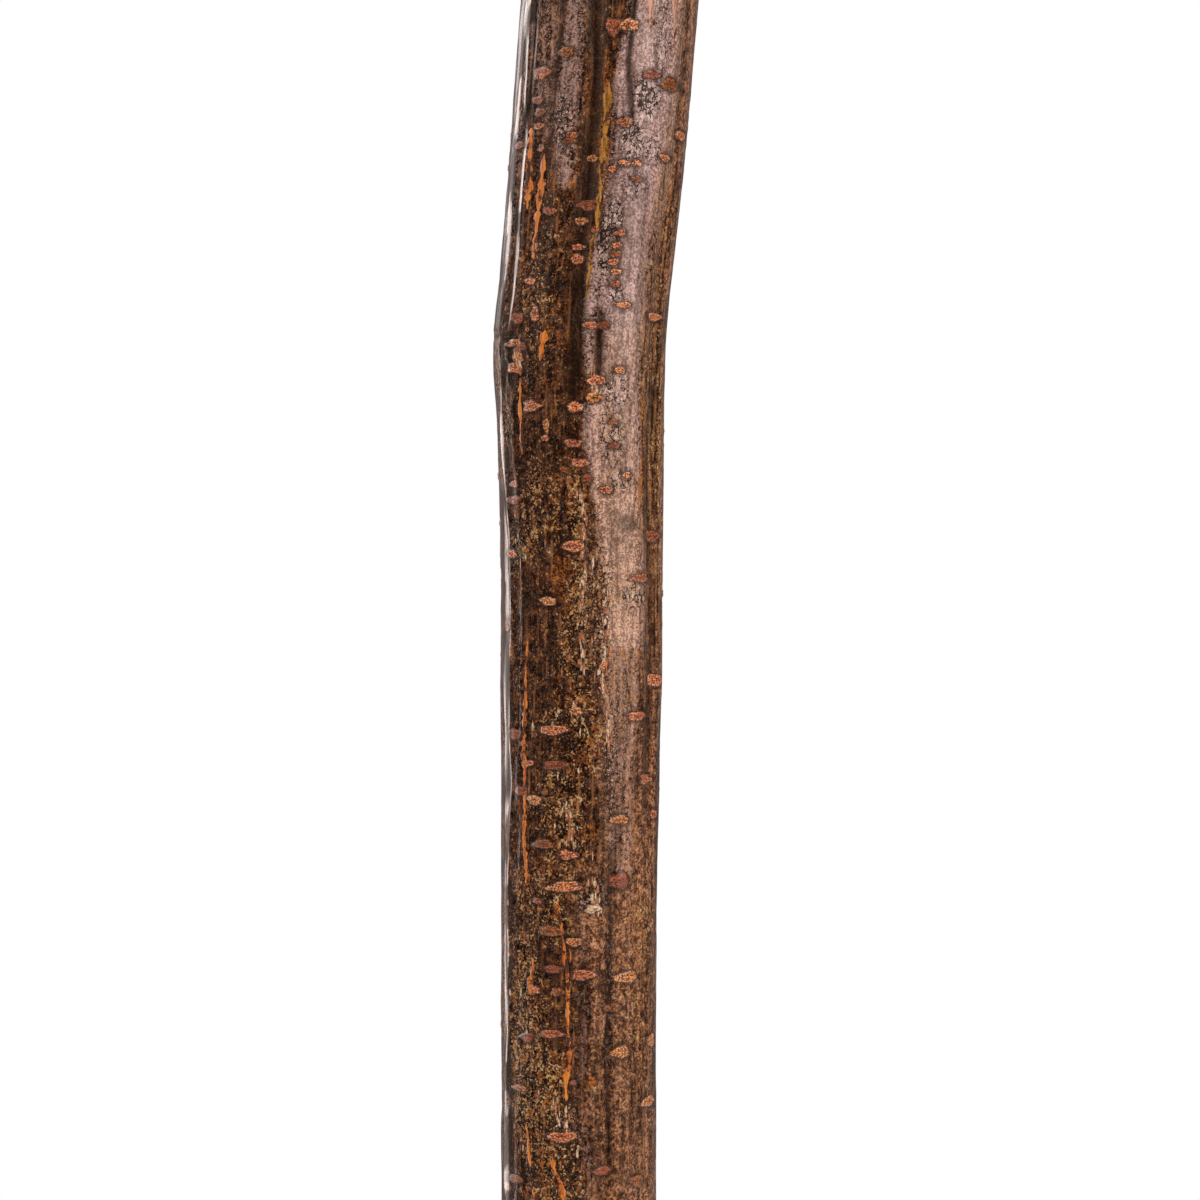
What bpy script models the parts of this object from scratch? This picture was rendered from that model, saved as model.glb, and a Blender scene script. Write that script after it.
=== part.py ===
# Knob walking cane: a bark-covered natural stick with a turned burr-wood knob and a rubber-tipped foot.
# Units are metres. Z points up the cane, the ground face of the rubber tip is at Z = 0 on the Z axis,
# and the photographed front of the stick faces -Y. Angles round the stick are in degrees,
# measured from that front towards +X.
import math
from dataclasses import dataclass

import bmesh
import bpy

# Fits
SEAT_GAP = 0.0003
SLIDE_GAP = 0.0003
TURNED_STEPS = 32
PIN_STEPS = 12

# Metal ferrule on the foot of the stick
FERRULE_DIAMETER = 0.0190
FERRULE_WALL = 0.0008
FERRULE_EXPOSED = 0.0110
FERRULE_BEAD = 0.0005
FERRULE_BEAD_HEIGHT = 0.0018
END_PLATE_THICKNESS = 0.0030
PIN_DIAMETER = 0.0014
PIN_LENGTH = 0.0062
PIN_HEAD_DIAMETER = 0.0026
PIN_HEAD_HEIGHT = 0.0007

# Rubber tip
TIP_BASE_DIAMETER = 0.0376
TIP_WALL = 0.0031
TIP_RIM_STEP = 0.0009
TIP_FLOOR = 0.0100
TIP_SOCKET_DEPTH = 0.0330
TIP_FOOT_HEIGHT = 0.0050
TIP_RIM_HEIGHT = 0.0045
TIP_EDGE_CHAMFER = 0.0007
TIP_FLARE_POINTS = 6
TIP_FLARE_POWER = 2.2
TIP_RIB_COUNT = 3
TIP_RIB_DEPTH = 0.0008
TIP_RIB_PITCH = 0.0042
TREAD_DEPTH = 0.0012
TREAD_LAND = 0.0026
TREAD_GROOVE = 0.0018
TREAD_RINGS = 3
TIP_WASHER_THICKNESS = 0.0012

# Stick
SHAFT_LENGTH = 0.8440
SHAFT_SIDES = 36
SHAFT_RING_PITCH = 0.0100
SHAFT_FINE_PITCH = 0.0050
SHOULDER_CHAMFER = 0.0012
BARK_PROUD_OF_FERRULE = 0.0003
BARK_SHY_OF_COLLAR = 0.0004
TRUED_END = 0.0450

# Head
COLLAR_DIAMETER = 0.0296
COLLAR_WALL = 0.0010
COLLAR_HEIGHT = 0.0200
COLLAR_BEAD = 0.0007
COLLAR_BEAD_HEIGHT = 0.0022
SPACER_THICKNESS = 0.0050
SPACER_EDGE = 0.0006
STUD_DIAMETER = 0.0080
STUD_IN_SHAFT = 0.0420
STUD_IN_KNOB = 0.0300
STUD_CHAMFER = 0.0010
INSERT_WALL = 0.0020
INSERT_LENGTH = 0.0180
INSERT_FLANGE = 0.0020
INSERT_FLANGE_THICKNESS = 0.0015
KNOB_DIAMETER = 0.0500
KNOB_HEIGHT = 0.0500
KNOB_NECK_DIAMETER = 0.0256
KNOB_NECK_HEIGHT = 0.0070
KNOB_FOOT_EDGE = 0.0008
KNOB_CURVE_POINTS = 20
KNOB_NECK_POINTS = 4

# Radii that fit each other
SOCKET_RADIUS = FERRULE_DIAMETER / 2 + SLIDE_GAP
FERRULE_BORE_RADIUS = FERRULE_DIAMETER / 2 - FERRULE_WALL
COLLAR_BORE_RADIUS = COLLAR_DIAMETER / 2 - COLLAR_WALL
STUD_HOLE_RADIUS = STUD_DIAMETER / 2 + SEAT_GAP
INSERT_RADIUS = STUD_HOLE_RADIUS + INSERT_WALL
PIN_HEAD_SEAT = FERRULE_DIAMETER / 2 + SEAT_GAP

# Levels, from the ground up
TIP_TOP = TIP_FLOOR + TIP_SOCKET_DEPTH
WASHER_BOTTOM = TIP_FLOOR + SEAT_GAP
WASHER_TOP = WASHER_BOTTOM + TIP_WASHER_THICKNESS
FERRULE_BOTTOM = WASHER_TOP + SEAT_GAP
FERRULE_TOP = TIP_TOP + FERRULE_EXPOSED
PIN_LEVEL = (TIP_TOP + FERRULE_TOP - FERRULE_BEAD_HEIGHT) / 2
SHAFT_BOTTOM = FERRULE_BOTTOM + END_PLATE_THICKNESS + SEAT_GAP
SHAFT_TOP = SHAFT_BOTTOM + SHAFT_LENGTH
COLLAR_TOP = SHAFT_TOP
COLLAR_BOTTOM = COLLAR_TOP - COLLAR_HEIGHT
LOWER_SHOULDER = FERRULE_TOP + SEAT_GAP
UPPER_SHOULDER = COLLAR_BOTTOM - SEAT_GAP
SPACER_BOTTOM = SHAFT_TOP + SEAT_GAP
SPACER_TOP = SPACER_BOTTOM + SPACER_THICKNESS
KNOB_BOTTOM = SPACER_TOP + SEAT_GAP
KNOB_TOP = KNOB_BOTTOM + KNOB_HEIGHT


@dataclass(frozen=True)
class Bend:
    """A place where the stick turns by so many degrees towards +X and +Y, over a length."""

    height: float
    towards_x: float
    towards_y: float
    length: float


@dataclass(frozen=True)
class Flute:
    """A shallow valley that runs along the bark between two heights. A negative depth is a ridge."""

    angle: float
    depth: float
    half_width: float
    bottom: float
    top: float


@dataclass(frozen=True)
class Knot:
    """A healed side shoot that swells the bark."""

    height: float
    angle: float
    swell: float
    half_width: float
    half_height: float


# The largest bend, at 0.6545 m, is the kink that the photograph shows.
BENDS = (
    Bend(0.1100, -0.45, 0.60, 0.0160),
    Bend(0.3000, 0.94, -1.10, 0.0240),
    Bend(0.4550, -0.49, 0.10, 0.0200),
    Bend(0.5710, 1.00, 0.40, 0.0060),
    Bend(0.5960, -1.00, 0.00, 0.0060),
    Bend(0.6260, -0.90, 0.00, 0.0040),
    Bend(0.6450, 0.90, 0.00, 0.0040),
    Bend(0.6545, 6.00, 0.90, 0.0025),
    Bend(0.6720, -1.30, 0.00, 0.0050),
    Bend(0.7400, -3.20, -0.90, 0.0100),
    Bend(0.7850, -1.50, 0.00, 0.0080),
)

# Height above the ground, and the diameter of the stick there.
GIRTH = (
    (LOWER_SHOULDER, FERRULE_DIAMETER + 2 * BARK_PROUD_OF_FERRULE),
    (0.2500, 0.0214),
    (0.4000, 0.0229),
    (0.5200, 0.0240),
    (0.5700, 0.0244),
    (0.5900, 0.0248),
    (0.6010, 0.0253),
    (0.6140, 0.0251),
    (0.6260, 0.0254),
    (0.6390, 0.0259),
    (0.6510, 0.0266),
    (0.6640, 0.0268),
    (0.6760, 0.0274),
    (0.7080, 0.0278),
    (0.7800, 0.0282),
    (UPPER_SHOULDER, COLLAR_DIAMETER - 2 * BARK_SHY_OF_COLLAR),
)

FLUTES = (
    Flute(-6, 0.0008, 8, 0.640, 0.820),
    Flute(8, 0.0005, 6, 0.622, 0.700),
    Flute(28, -0.0006, 14, 0.590, 0.815),
    Flute(61, 0.0006, 7, 0.555, 0.700),
    Flute(0, 0.0006, 5, 0.430, 0.572),
    Flute(22, 0.0006, 6, 0.440, 0.572),
    Flute(-62, -0.0004, 8, 0.450, 0.800),
    Flute(122, 0.0007, 10, 0.300, 0.740),
    Flute(155, 0.0008, 12, 0.420, 0.810),
    Flute(196, -0.0006, 14, 0.250, 0.700),
    Flute(232, 0.0007, 10, 0.330, 0.780),
    Flute(262, 0.0006, 9, 0.180, 0.480),
    Flute(-20, 0.0005, 10, 0.120, 0.400),
    Flute(52, -0.0005, 12, 0.150, 0.430),
    Flute(128, 0.0005, 10, 0.090, 0.330),
    Flute(300, -0.0004, 12, 0.090, 0.420),
)

KNOTS = (
    Knot(0.7720, 118, 0.0022, 16, 0.0080),
    Knot(0.7350, -122, 0.0016, 14, 0.0070),
    Knot(0.6550, -80, 0.0004, 22, 0.0060),
    Knot(0.6040, 172, 0.0020, 17, 0.0080),
    Knot(0.4800, -128, 0.0018, 17, 0.0080),
    Knot(0.4020, 64, 0.0018, 17, 0.0070),
    Knot(0.3180, -58, 0.0016, 18, 0.0070),
    Knot(0.2260, 148, 0.0015, 19, 0.0060),
    Knot(0.1420, 22, 0.0013, 20, 0.0060),
)


def clear_scene():
    """Removes every object, so that the model is all that the scene holds."""
    for old in list(bpy.data.objects):
        bpy.data.objects.remove(old)


def new_collection(name):
    """A collection linked to the scene."""
    made = bpy.data.collections.new(name)
    bpy.context.scene.collection.children.link(made)
    return made


def finish(name, colour, roughness, metallic=0.0):
    """A plain Principled material."""
    material = bpy.data.materials.new(name)
    material.use_nodes = True
    shader = material.node_tree.nodes["Principled BSDF"]
    shader.inputs["Base Color"].default_value = (*colour, 1.0)
    shader.inputs["Roughness"].default_value = roughness
    shader.inputs["Metallic"].default_value = metallic
    return material


def placed(name, mesh, collection, axis=(0.0, 0.0)):
    """An object with this mesh, in this collection, on the upright axis at this (x, y)."""
    made = bpy.data.objects.new(name, mesh)
    made.location = (*axis, 0.0)
    collection.objects.link(made)
    return made


def turned(name, profile, collection, axis, closed=False, steps=TURNED_STEPS):
    """A lathe-turned piece. The profile is (radius, height) points that run down the outer side."""
    mesh = bpy.data.meshes.new(name)
    count = len(profile)
    edges = [(i, i + 1) for i in range(count - 1)]
    if closed:
        edges.append((count - 1, 0))
    mesh.from_pydata([(radius, 0.0, height) for radius, height in profile], edges, [])
    made = placed(name, mesh, collection, axis)
    screw = made.modifiers.new("Turn", "SCREW")
    screw.axis = "Z"
    screw.steps = steps
    screw.render_steps = steps
    screw.use_merge_vertices = True
    screw.merge_threshold = 0.00001
    screw.use_smooth_shade = True
    return made


def turned_disc(name, radius, bottom, top, collection, axis):
    """A plain flat disc."""
    return turned(name, ((0.0, top), (radius, top), (radius, bottom), (0.0, bottom)), collection, axis)


def drill(name, radius, start, end, collection, sides=TURNED_STEPS):
    """A hidden straight cylinder between two points, to cut a hole with."""
    along = [b - a for a, b in zip(start, end)]
    length = math.hypot(*along)
    bpy.ops.mesh.primitive_cylinder_add(vertices=sides, radius=radius, depth=length)
    made = bpy.context.object
    made.name = name
    made.location = [(a + b) / 2 for a, b in zip(start, end)]
    made.rotation_euler = (0.0, math.acos(along[2] / length), math.atan2(along[1], along[0]))
    for holder in list(made.users_collection):
        holder.objects.unlink(made)
    collection.objects.link(made)
    made.hide_render = True
    made.display_type = "WIRE"
    return made


def cut(target, cutter):
    """Cuts one mesh out of another."""
    boolean = target.modifiers.new("Cut " + cutter.name, "BOOLEAN")
    boolean.operation = "DIFFERENCE"
    boolean.solver = "EXACT"
    boolean.object = cutter


def eased(share):
    """Runs smoothly from 0 to 1."""
    share = min(max(share, 0.0), 1.0)
    return share * share * (3 - 2 * share)


def bent_offset(height):
    """How far the bends below this height have carried the stick, as (x, y)."""
    x = 0.0
    y = 0.0
    for bend in BENDS:
        run = (height - bend.height) / bend.length
        past = bend.length * (max(run, 0.0) + math.log1p(math.exp(-abs(run))))
        x += math.tan(math.radians(bend.towards_x)) * past
        y += math.tan(math.radians(bend.towards_y)) * past
    return x, y


def centre_at(height):
    """Where the middle of the stick lies, as (x, y). It runs upright into the ferrule and the collar."""
    here = bent_offset(height)
    foot = bent_offset(LOWER_SHOULDER)
    head = bent_offset(UPPER_SHOULDER)
    leaves_foot = eased((height - LOWER_SHOULDER) / TRUED_END)
    meets_head = eased((height - UPPER_SHOULDER) / TRUED_END + 1)
    centre = []
    for axis in range(2):
        value = (here[axis] - foot[axis]) * leaves_foot
        value += (head[axis] - foot[axis] - value) * meets_head
        centre.append(value)
    return tuple(centre)


def girth_at(height):
    """The diameter of the stick at this height, before flutes and knots."""
    for (low, thin), (high, thick) in zip(GIRTH, GIRTH[1:]):
        if height <= high:
            return thin + (thick - thin) * (height - low) / (high - low)
    return GIRTH[-1][1]


def turn_between(angle, other):
    """The shortest way round from one angle to another, in degrees."""
    return (angle - other + 180) % 360 - 180


def bark_radius(angle, height):
    """How far the bark lies from the middle of the stick."""
    radius = girth_at(height) / 2
    for flute in FLUTES:
        fade = (flute.top - flute.bottom) / 4
        run = eased((height - flute.bottom) / fade) * eased((flute.top - height) / fade)
        side = turn_between(angle, flute.angle) / flute.half_width
        radius -= flute.depth * run * math.exp(-0.5 * side * side)
    for knot in KNOTS:
        side = turn_between(angle, knot.angle) / knot.half_width
        rise = (height - knot.height) / knot.half_height
        radius += knot.swell * math.exp(-0.5 * (side * side + rise * rise))
    return radius


def shaft_heights():
    """Levels of the bark's rings, closer together round the kink."""
    kink = max(BENDS, key=lambda bend: abs(bend.towards_x))
    heights = [LOWER_SHOULDER + SHOULDER_CHAMFER]
    while heights[-1] < UPPER_SHOULDER - SHOULDER_CHAMFER - SHAFT_RING_PITCH:
        near = abs(heights[-1] - kink.height) < 4 * SHAFT_RING_PITCH
        heights.append(heights[-1] + (SHAFT_FINE_PITCH if near else SHAFT_RING_PITCH))
    heights.append(UPPER_SHOULDER - SHOULDER_CHAMFER)
    return heights


def ring_round(centre, radius_at, height):
    """A ring of points round a centre, with the radius that each angle has."""
    points = []
    for side in range(SHAFT_SIDES):
        angle = 360 * side / SHAFT_SIDES
        turn = math.radians(angle)
        radius = radius_at(angle)
        points.append((centre[0] + radius * math.sin(turn), centre[1] - radius * math.cos(turn), height))
    return points


def bark_ring(height, taken_in=0.0):
    """The bark's outline at one height."""
    return ring_round(centre_at(height), lambda angle: bark_radius(angle, height) - taken_in, height)


def tenon_ring(height, radius, centre):
    """A true circle on a tenon."""
    return ring_round(centre, lambda angle: radius, height)


def loft(name, rings, collection):
    """A closed skin over rings of equally many points, listed from the bottom up."""
    shape = bmesh.new()
    made = [[shape.verts.new(point) for point in points] for points in rings]
    for low, high in zip(made, made[1:]):
        for side in range(len(low)):
            following = (side + 1) % len(low)
            shape.faces.new((low[side], low[following], high[following], high[side]))
    shape.faces.new(made[0][::-1])
    shape.faces.new(made[-1])
    bmesh.ops.recalc_face_normals(shape, faces=shape.faces)
    mesh = bpy.data.meshes.new(name)
    shape.to_mesh(mesh)
    shape.free()
    mesh.shade_smooth()
    mesh.set_sharp_from_angle(angle=math.radians(35))
    return placed(name, mesh, collection)


def foot_axis():
    """The upright axis that the foot's pieces share."""
    return centre_at(LOWER_SHOULDER)


def head_axis():
    """The upright axis that the head's pieces share."""
    return centre_at(UPPER_SHOULDER)


def pin_holes(cutters, where):
    """Cutters for the two pins, one on each side."""
    x, y = foot_axis()
    inner_end = PIN_HEAD_SEAT - PIN_LENGTH - SEAT_GAP
    holes = []
    for side, name in ((-1, "left"), (1, "right")):
        start = (x + side * inner_end, y, PIN_LEVEL)
        end = (x + side * FERRULE_DIAMETER, y, PIN_LEVEL)
        hole_radius = PIN_DIAMETER / 2 + SEAT_GAP
        holes.append(drill(f"{where}_hole_{name}", hole_radius, start, end, cutters, PIN_STEPS))
    return holes


def make_shaft(parts, cutters, bark):
    """The stick, with a tenon for the ferrule, a tenon for the collar, and its drilled holes."""
    foot = foot_axis()
    head = head_axis()
    foot_radius = FERRULE_BORE_RADIUS - SEAT_GAP
    head_radius = COLLAR_BORE_RADIUS - SEAT_GAP
    rings = [
        tenon_ring(SHAFT_BOTTOM, foot_radius, foot),
        tenon_ring(LOWER_SHOULDER, foot_radius, foot),
        bark_ring(LOWER_SHOULDER, SHOULDER_CHAMFER / 2),
    ]
    rings += [bark_ring(height) for height in shaft_heights()]
    rings += [
        bark_ring(UPPER_SHOULDER, SHOULDER_CHAMFER / 2),
        tenon_ring(UPPER_SHOULDER, head_radius, head),
        tenon_ring(SHAFT_TOP, head_radius, head),
    ]
    shaft = loft("shaft", rings, parts)
    shaft.data.materials.append(bark)
    hole_depth = STUD_IN_SHAFT + SEAT_GAP
    stud_hole = drill(
        "stud_hole",
        STUD_HOLE_RADIUS,
        (*head, SHAFT_TOP - hole_depth),
        (*head, SHAFT_TOP + hole_depth),
        cutters,
    )
    cut(shaft, stud_hole)
    for hole in pin_holes(cutters, "tenon"):
        cut(shaft, hole)


def make_ferrule(parts, cutters, brass, steel):
    """The brass ferrule with its beaded lip, the steel plate in its end, and the two pins that hold it."""
    foot = foot_axis()
    outer = FERRULE_DIAMETER / 2
    bead_base = FERRULE_TOP - FERRULE_BEAD_HEIGHT
    bead_round = FERRULE_BEAD_HEIGHT / 4
    edge = FERRULE_WALL / 2
    profile = (
        (FERRULE_BORE_RADIUS, FERRULE_TOP),
        (outer, FERRULE_TOP),
        (outer + FERRULE_BEAD, FERRULE_TOP - bead_round),
        (outer + FERRULE_BEAD, bead_base + bead_round),
        (outer, bead_base),
        (outer, FERRULE_BOTTOM + edge),
        (outer - edge, FERRULE_BOTTOM),
        (FERRULE_BORE_RADIUS, FERRULE_BOTTOM),
    )
    sleeve = turned("ferrule_sleeve", profile, parts, foot, closed=True)
    sleeve.data.materials.append(brass)
    for hole in pin_holes(cutters, "ferrule"):
        cut(sleeve, hole)
    plate_radius = FERRULE_BORE_RADIUS - SEAT_GAP
    plate_top = FERRULE_BOTTOM + END_PLATE_THICKNESS
    plate = turned_disc("ferrule_end_plate", plate_radius, FERRULE_BOTTOM, plate_top, parts, foot)
    plate.data.materials.append(steel)
    for side, name in ((-1, "ferrule_pin_left"), (1, "ferrule_pin_right")):
        make_pin(name, side, parts, brass)


def make_pin(name, side, parts, brass):
    """One domed pin, turned upright and laid on its side."""
    head = PIN_HEAD_DIAMETER / 2
    shank = PIN_DIAMETER / 2
    profile = (
        (0.0, PIN_HEAD_HEIGHT),
        (head * 0.55, PIN_HEAD_HEIGHT * 0.85),
        (head * 0.9, PIN_HEAD_HEIGHT * 0.45),
        (head, 0.0),
        (shank, 0.0),
        (shank, PIN_DIAMETER - PIN_LENGTH),
        (0.0, -PIN_LENGTH),
    )
    pin = turned(name, profile, parts, foot_axis(), steps=PIN_STEPS)
    pin.location.x += side * PIN_HEAD_SEAT
    pin.location.z = PIN_LEVEL
    pin.rotation_euler = (0.0, side * math.pi / 2, 0.0)
    pin.data.materials.append(brass)


def rib_profile(radius, top):
    """The grooves round the tip's waist, from the top one down."""
    points = []
    quarter = TIP_RIB_PITCH / 4
    for rib in range(TIP_RIB_COUNT):
        level = top - quarter - rib * TIP_RIB_PITCH
        points += [
            (radius, level),
            (radius - TIP_RIB_DEPTH, level - quarter / 2),
            (radius - TIP_RIB_DEPTH, level - quarter * 1.5),
            (radius, level - quarter * 2),
        ]
    return points


def flare_profile(radius, top, foot_radius, foot):
    """The bell that widens from the waist to the foot."""
    points = []
    for step in range(TIP_FLARE_POINTS + 1):
        share = step / TIP_FLARE_POINTS
        points.append((radius + (foot_radius - radius) * share**TIP_FLARE_POWER, top + (foot - top) * share))
    return points


def tread_profile(edge):
    """The underside of the rubber tip, from its rim to the middle: lands with square grooves between."""
    points = [(edge, 0.0)]
    outer = edge - TREAD_LAND
    for _ in range(TREAD_RINGS):
        inner = outer - TREAD_GROOVE
        points += [(outer, 0.0), (outer, TREAD_DEPTH), (inner, TREAD_DEPTH), (inner, 0.0)]
        outer = inner - TREAD_LAND
    points.append((0.0, 0.0))
    return points


def make_rubber_tip(parts, rubber, steel):
    """The bell-shaped rubber tip, and the steel washer in the floor of its socket."""
    base = TIP_BASE_DIAMETER / 2
    waist = SOCKET_RADIUS + TIP_WALL
    rim = waist + TIP_RIM_STEP
    edge = TIP_EDGE_CHAMFER
    rim_base = TIP_TOP - TIP_RIM_HEIGHT
    ribs_base = rim_base - edge - TIP_RIB_COUNT * TIP_RIB_PITCH
    profile = [
        (0.0, TIP_FLOOR),
        (SOCKET_RADIUS, TIP_FLOOR),
        (SOCKET_RADIUS, TIP_TOP - edge),
        (SOCKET_RADIUS + edge, TIP_TOP),
        (rim - edge, TIP_TOP),
        (rim, TIP_TOP - edge),
        (rim, rim_base + edge),
        (waist, rim_base - edge),
    ]
    profile += rib_profile(waist, rim_base - edge)
    profile += flare_profile(waist, ribs_base, base - edge, TIP_FOOT_HEIGHT)
    profile += [(base, TIP_FOOT_HEIGHT - edge), (base, edge)]
    profile += tread_profile(base - edge)
    tip = turned("rubber_tip", profile, parts, foot_axis())
    tip.data.materials.append(rubber)
    washer_radius = SOCKET_RADIUS - SEAT_GAP
    washer = turned_disc("tip_washer", washer_radius, WASHER_BOTTOM, WASHER_TOP, parts, foot_axis())
    washer.data.materials.append(steel)


def make_collar(parts, brass):
    """The collar that covers the joint between stick and head, with a bead at each end."""
    outer = COLLAR_DIAMETER / 2
    bead_round = COLLAR_BEAD_HEIGHT / 4
    profile = [(COLLAR_BORE_RADIUS, COLLAR_TOP)]
    for bead_top in (COLLAR_TOP, COLLAR_BOTTOM + COLLAR_BEAD_HEIGHT):
        profile += [
            (outer, bead_top),
            (outer + COLLAR_BEAD, bead_top - bead_round),
            (outer + COLLAR_BEAD, bead_top - COLLAR_BEAD_HEIGHT + bead_round),
            (outer, bead_top - COLLAR_BEAD_HEIGHT),
        ]
    profile.append((COLLAR_BORE_RADIUS, COLLAR_BOTTOM))
    collar = turned("collar", profile, parts, head_axis(), closed=True)
    collar.data.materials.append(brass)


def make_spacer(parts, horn):
    """The horn ring between the collar and the knob, with its outer corners broken."""
    outer = COLLAR_DIAMETER / 2
    profile = (
        (STUD_HOLE_RADIUS, SPACER_TOP),
        (outer - SPACER_EDGE, SPACER_TOP),
        (outer, SPACER_TOP - SPACER_EDGE),
        (outer, SPACER_BOTTOM + SPACER_EDGE),
        (outer - SPACER_EDGE, SPACER_BOTTOM),
        (STUD_HOLE_RADIUS, SPACER_BOTTOM),
    )
    spacer = turned("horn_spacer", profile, parts, head_axis(), closed=True)
    spacer.data.materials.append(horn)


def make_stud(parts, steel):
    """The stud that joins the stick and the knob."""
    low = SHAFT_TOP - STUD_IN_SHAFT
    high = KNOB_BOTTOM + STUD_IN_KNOB
    radius = STUD_DIAMETER / 2
    profile = (
        (0.0, high),
        (radius - STUD_CHAMFER, high),
        (radius, high - STUD_CHAMFER),
        (radius, low + STUD_CHAMFER),
        (radius - STUD_CHAMFER, low),
        (0.0, low),
    )
    stud = turned("head_stud", profile, parts, head_axis())
    stud.data.materials.append(steel)


def make_insert(parts, brass):
    """The flanged insert in the knob that the stud screws into."""
    flange_top = KNOB_BOTTOM + INSERT_FLANGE_THICKNESS
    profile = (
        (STUD_HOLE_RADIUS, KNOB_BOTTOM + INSERT_LENGTH),
        (INSERT_RADIUS, KNOB_BOTTOM + INSERT_LENGTH),
        (INSERT_RADIUS, flange_top),
        (INSERT_RADIUS + INSERT_FLANGE, flange_top),
        (INSERT_RADIUS + INSERT_FLANGE, KNOB_BOTTOM),
        (STUD_HOLE_RADIUS, KNOB_BOTTOM),
    )
    insert = turned("knob_insert", profile, parts, head_axis(), closed=True)
    insert.data.materials.append(brass)


def knob_outline():
    """The knob's outer side from crown to foot: a flattened ball that runs into a waisted neck."""
    half_width = KNOB_DIAMETER / 2
    neck = KNOB_NECK_DIAMETER / 2
    foot = COLLAR_DIAMETER / 2
    neck_level = KNOB_BOTTOM + KNOB_NECK_HEIGHT
    ball_half = (KNOB_TOP - neck_level) / 2
    middle = neck_level + ball_half
    lowest = math.acos(neck / half_width)
    points = [(0.0, KNOB_TOP)]
    for step in range(1, KNOB_CURVE_POINTS + 1):
        turn = math.pi / 2 - (math.pi / 2 + lowest) * step / KNOB_CURVE_POINTS
        points.append((half_width * math.cos(turn), middle + ball_half * math.sin(turn)))
    start = points[-1][1]
    end = KNOB_BOTTOM + KNOB_FOOT_EDGE
    for step in range(1, KNOB_NECK_POINTS + 1):
        share = step / KNOB_NECK_POINTS
        points.append((neck + (foot - neck) * share**2, start + (end - start) * share))
    points.append((foot - KNOB_FOOT_EDGE, KNOB_BOTTOM))
    return points


def make_knob(parts, burr):
    """The knob, bored from below for its insert and the end of the stud."""
    flange = INSERT_RADIUS + INSERT_FLANGE + SEAT_GAP
    body = INSERT_RADIUS + SEAT_GAP
    flange_top = KNOB_BOTTOM + INSERT_FLANGE_THICKNESS + SEAT_GAP
    body_top = KNOB_BOTTOM + INSERT_LENGTH + SEAT_GAP
    stud_top = KNOB_BOTTOM + STUD_IN_KNOB + SEAT_GAP
    profile = knob_outline() + [
        (flange, KNOB_BOTTOM),
        (flange, flange_top),
        (body, flange_top),
        (body, body_top),
        (STUD_HOLE_RADIUS, body_top),
        (STUD_HOLE_RADIUS, stud_top),
        (0.0, stud_top),
    ]
    knob = turned("knob", profile, parts, head_axis())
    knob.data.materials.append(burr)


def main():
    clear_scene()
    parts = new_collection("knob_walking_cane")
    cutters = new_collection("cutters")
    bark = finish("bark", (0.115, 0.062, 0.036), 0.25)
    burr = finish("burr_wood", (0.23, 0.09, 0.035), 0.22)
    horn = finish("horn", (0.012, 0.011, 0.011), 0.2)
    brass = finish("brass", (0.72, 0.52, 0.24), 0.3, 1.0)
    steel = finish("steel", (0.55, 0.55, 0.56), 0.35, 1.0)
    rubber = finish("rubber", (0.022, 0.022, 0.023), 0.75)
    make_shaft(parts, cutters, bark)
    make_ferrule(parts, cutters, brass, steel)
    make_rubber_tip(parts, rubber, steel)
    make_collar(parts, brass)
    make_spacer(parts, horn)
    make_stud(parts, steel)
    make_insert(parts, brass)
    make_knob(parts, burr)


main()
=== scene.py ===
"""Dresses and lights the knob walking cane.

The stick is a natural branch with its bark on, under thick varnish. The photograph shows one stretch of it
from the front, and what was read off that stretch is written here in pixels of the photograph, as
columns and rows. Viewpoint carries those onto the bark. Everything else is in metres, and an angle round
the stick is in degrees, from the front (-Y) towards +X.
"""

import logging
import math
from dataclasses import dataclass
from enum import Enum
from typing import Any, Iterable, Sequence

import bpy
import numpy as np
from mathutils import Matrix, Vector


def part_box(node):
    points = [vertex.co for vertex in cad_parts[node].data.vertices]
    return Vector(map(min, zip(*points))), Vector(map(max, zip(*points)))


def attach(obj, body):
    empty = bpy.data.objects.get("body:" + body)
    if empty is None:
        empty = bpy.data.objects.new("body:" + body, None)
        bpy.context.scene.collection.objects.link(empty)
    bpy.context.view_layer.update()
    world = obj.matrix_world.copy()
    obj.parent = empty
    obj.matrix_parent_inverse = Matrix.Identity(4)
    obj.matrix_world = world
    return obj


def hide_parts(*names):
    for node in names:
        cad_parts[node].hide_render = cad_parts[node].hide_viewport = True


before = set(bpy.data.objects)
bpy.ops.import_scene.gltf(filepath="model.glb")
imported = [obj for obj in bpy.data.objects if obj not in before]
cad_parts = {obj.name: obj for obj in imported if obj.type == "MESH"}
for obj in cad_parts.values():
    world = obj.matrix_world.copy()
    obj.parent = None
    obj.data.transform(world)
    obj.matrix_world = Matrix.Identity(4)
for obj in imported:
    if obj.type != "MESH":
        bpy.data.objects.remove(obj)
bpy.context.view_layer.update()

LOG = logging.getLogger("cane")
MM = 0.001
SEAT_GAP = 0.3 * MM
# Where the photograph counts less than this, flakes and splits are strewn by seeded draws.
HIDDEN = 0.2

Outline = Sequence[tuple[float, float]]
Array = np.ndarray
Faces = list[Sequence[int]]
Layers = dict[str, Array]
Shape = tuple[Array, Faces, Layers]
Colour = tuple[float, float, float, float]
Material = bpy.types.Material
Piece = bpy.types.Object


class Body(Enum):
    """The two bodies that a piece can ride on."""

    STICK = "stick"
    TIP = "ground_tip"


class Slot(Enum):
    """The record's material slots, one named with each turned piece."""

    BARK = "bark"
    BURR = "burr_wood"
    HORN = "horn"
    BRASS = "brass"
    RUBBER = "rubber"


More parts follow.
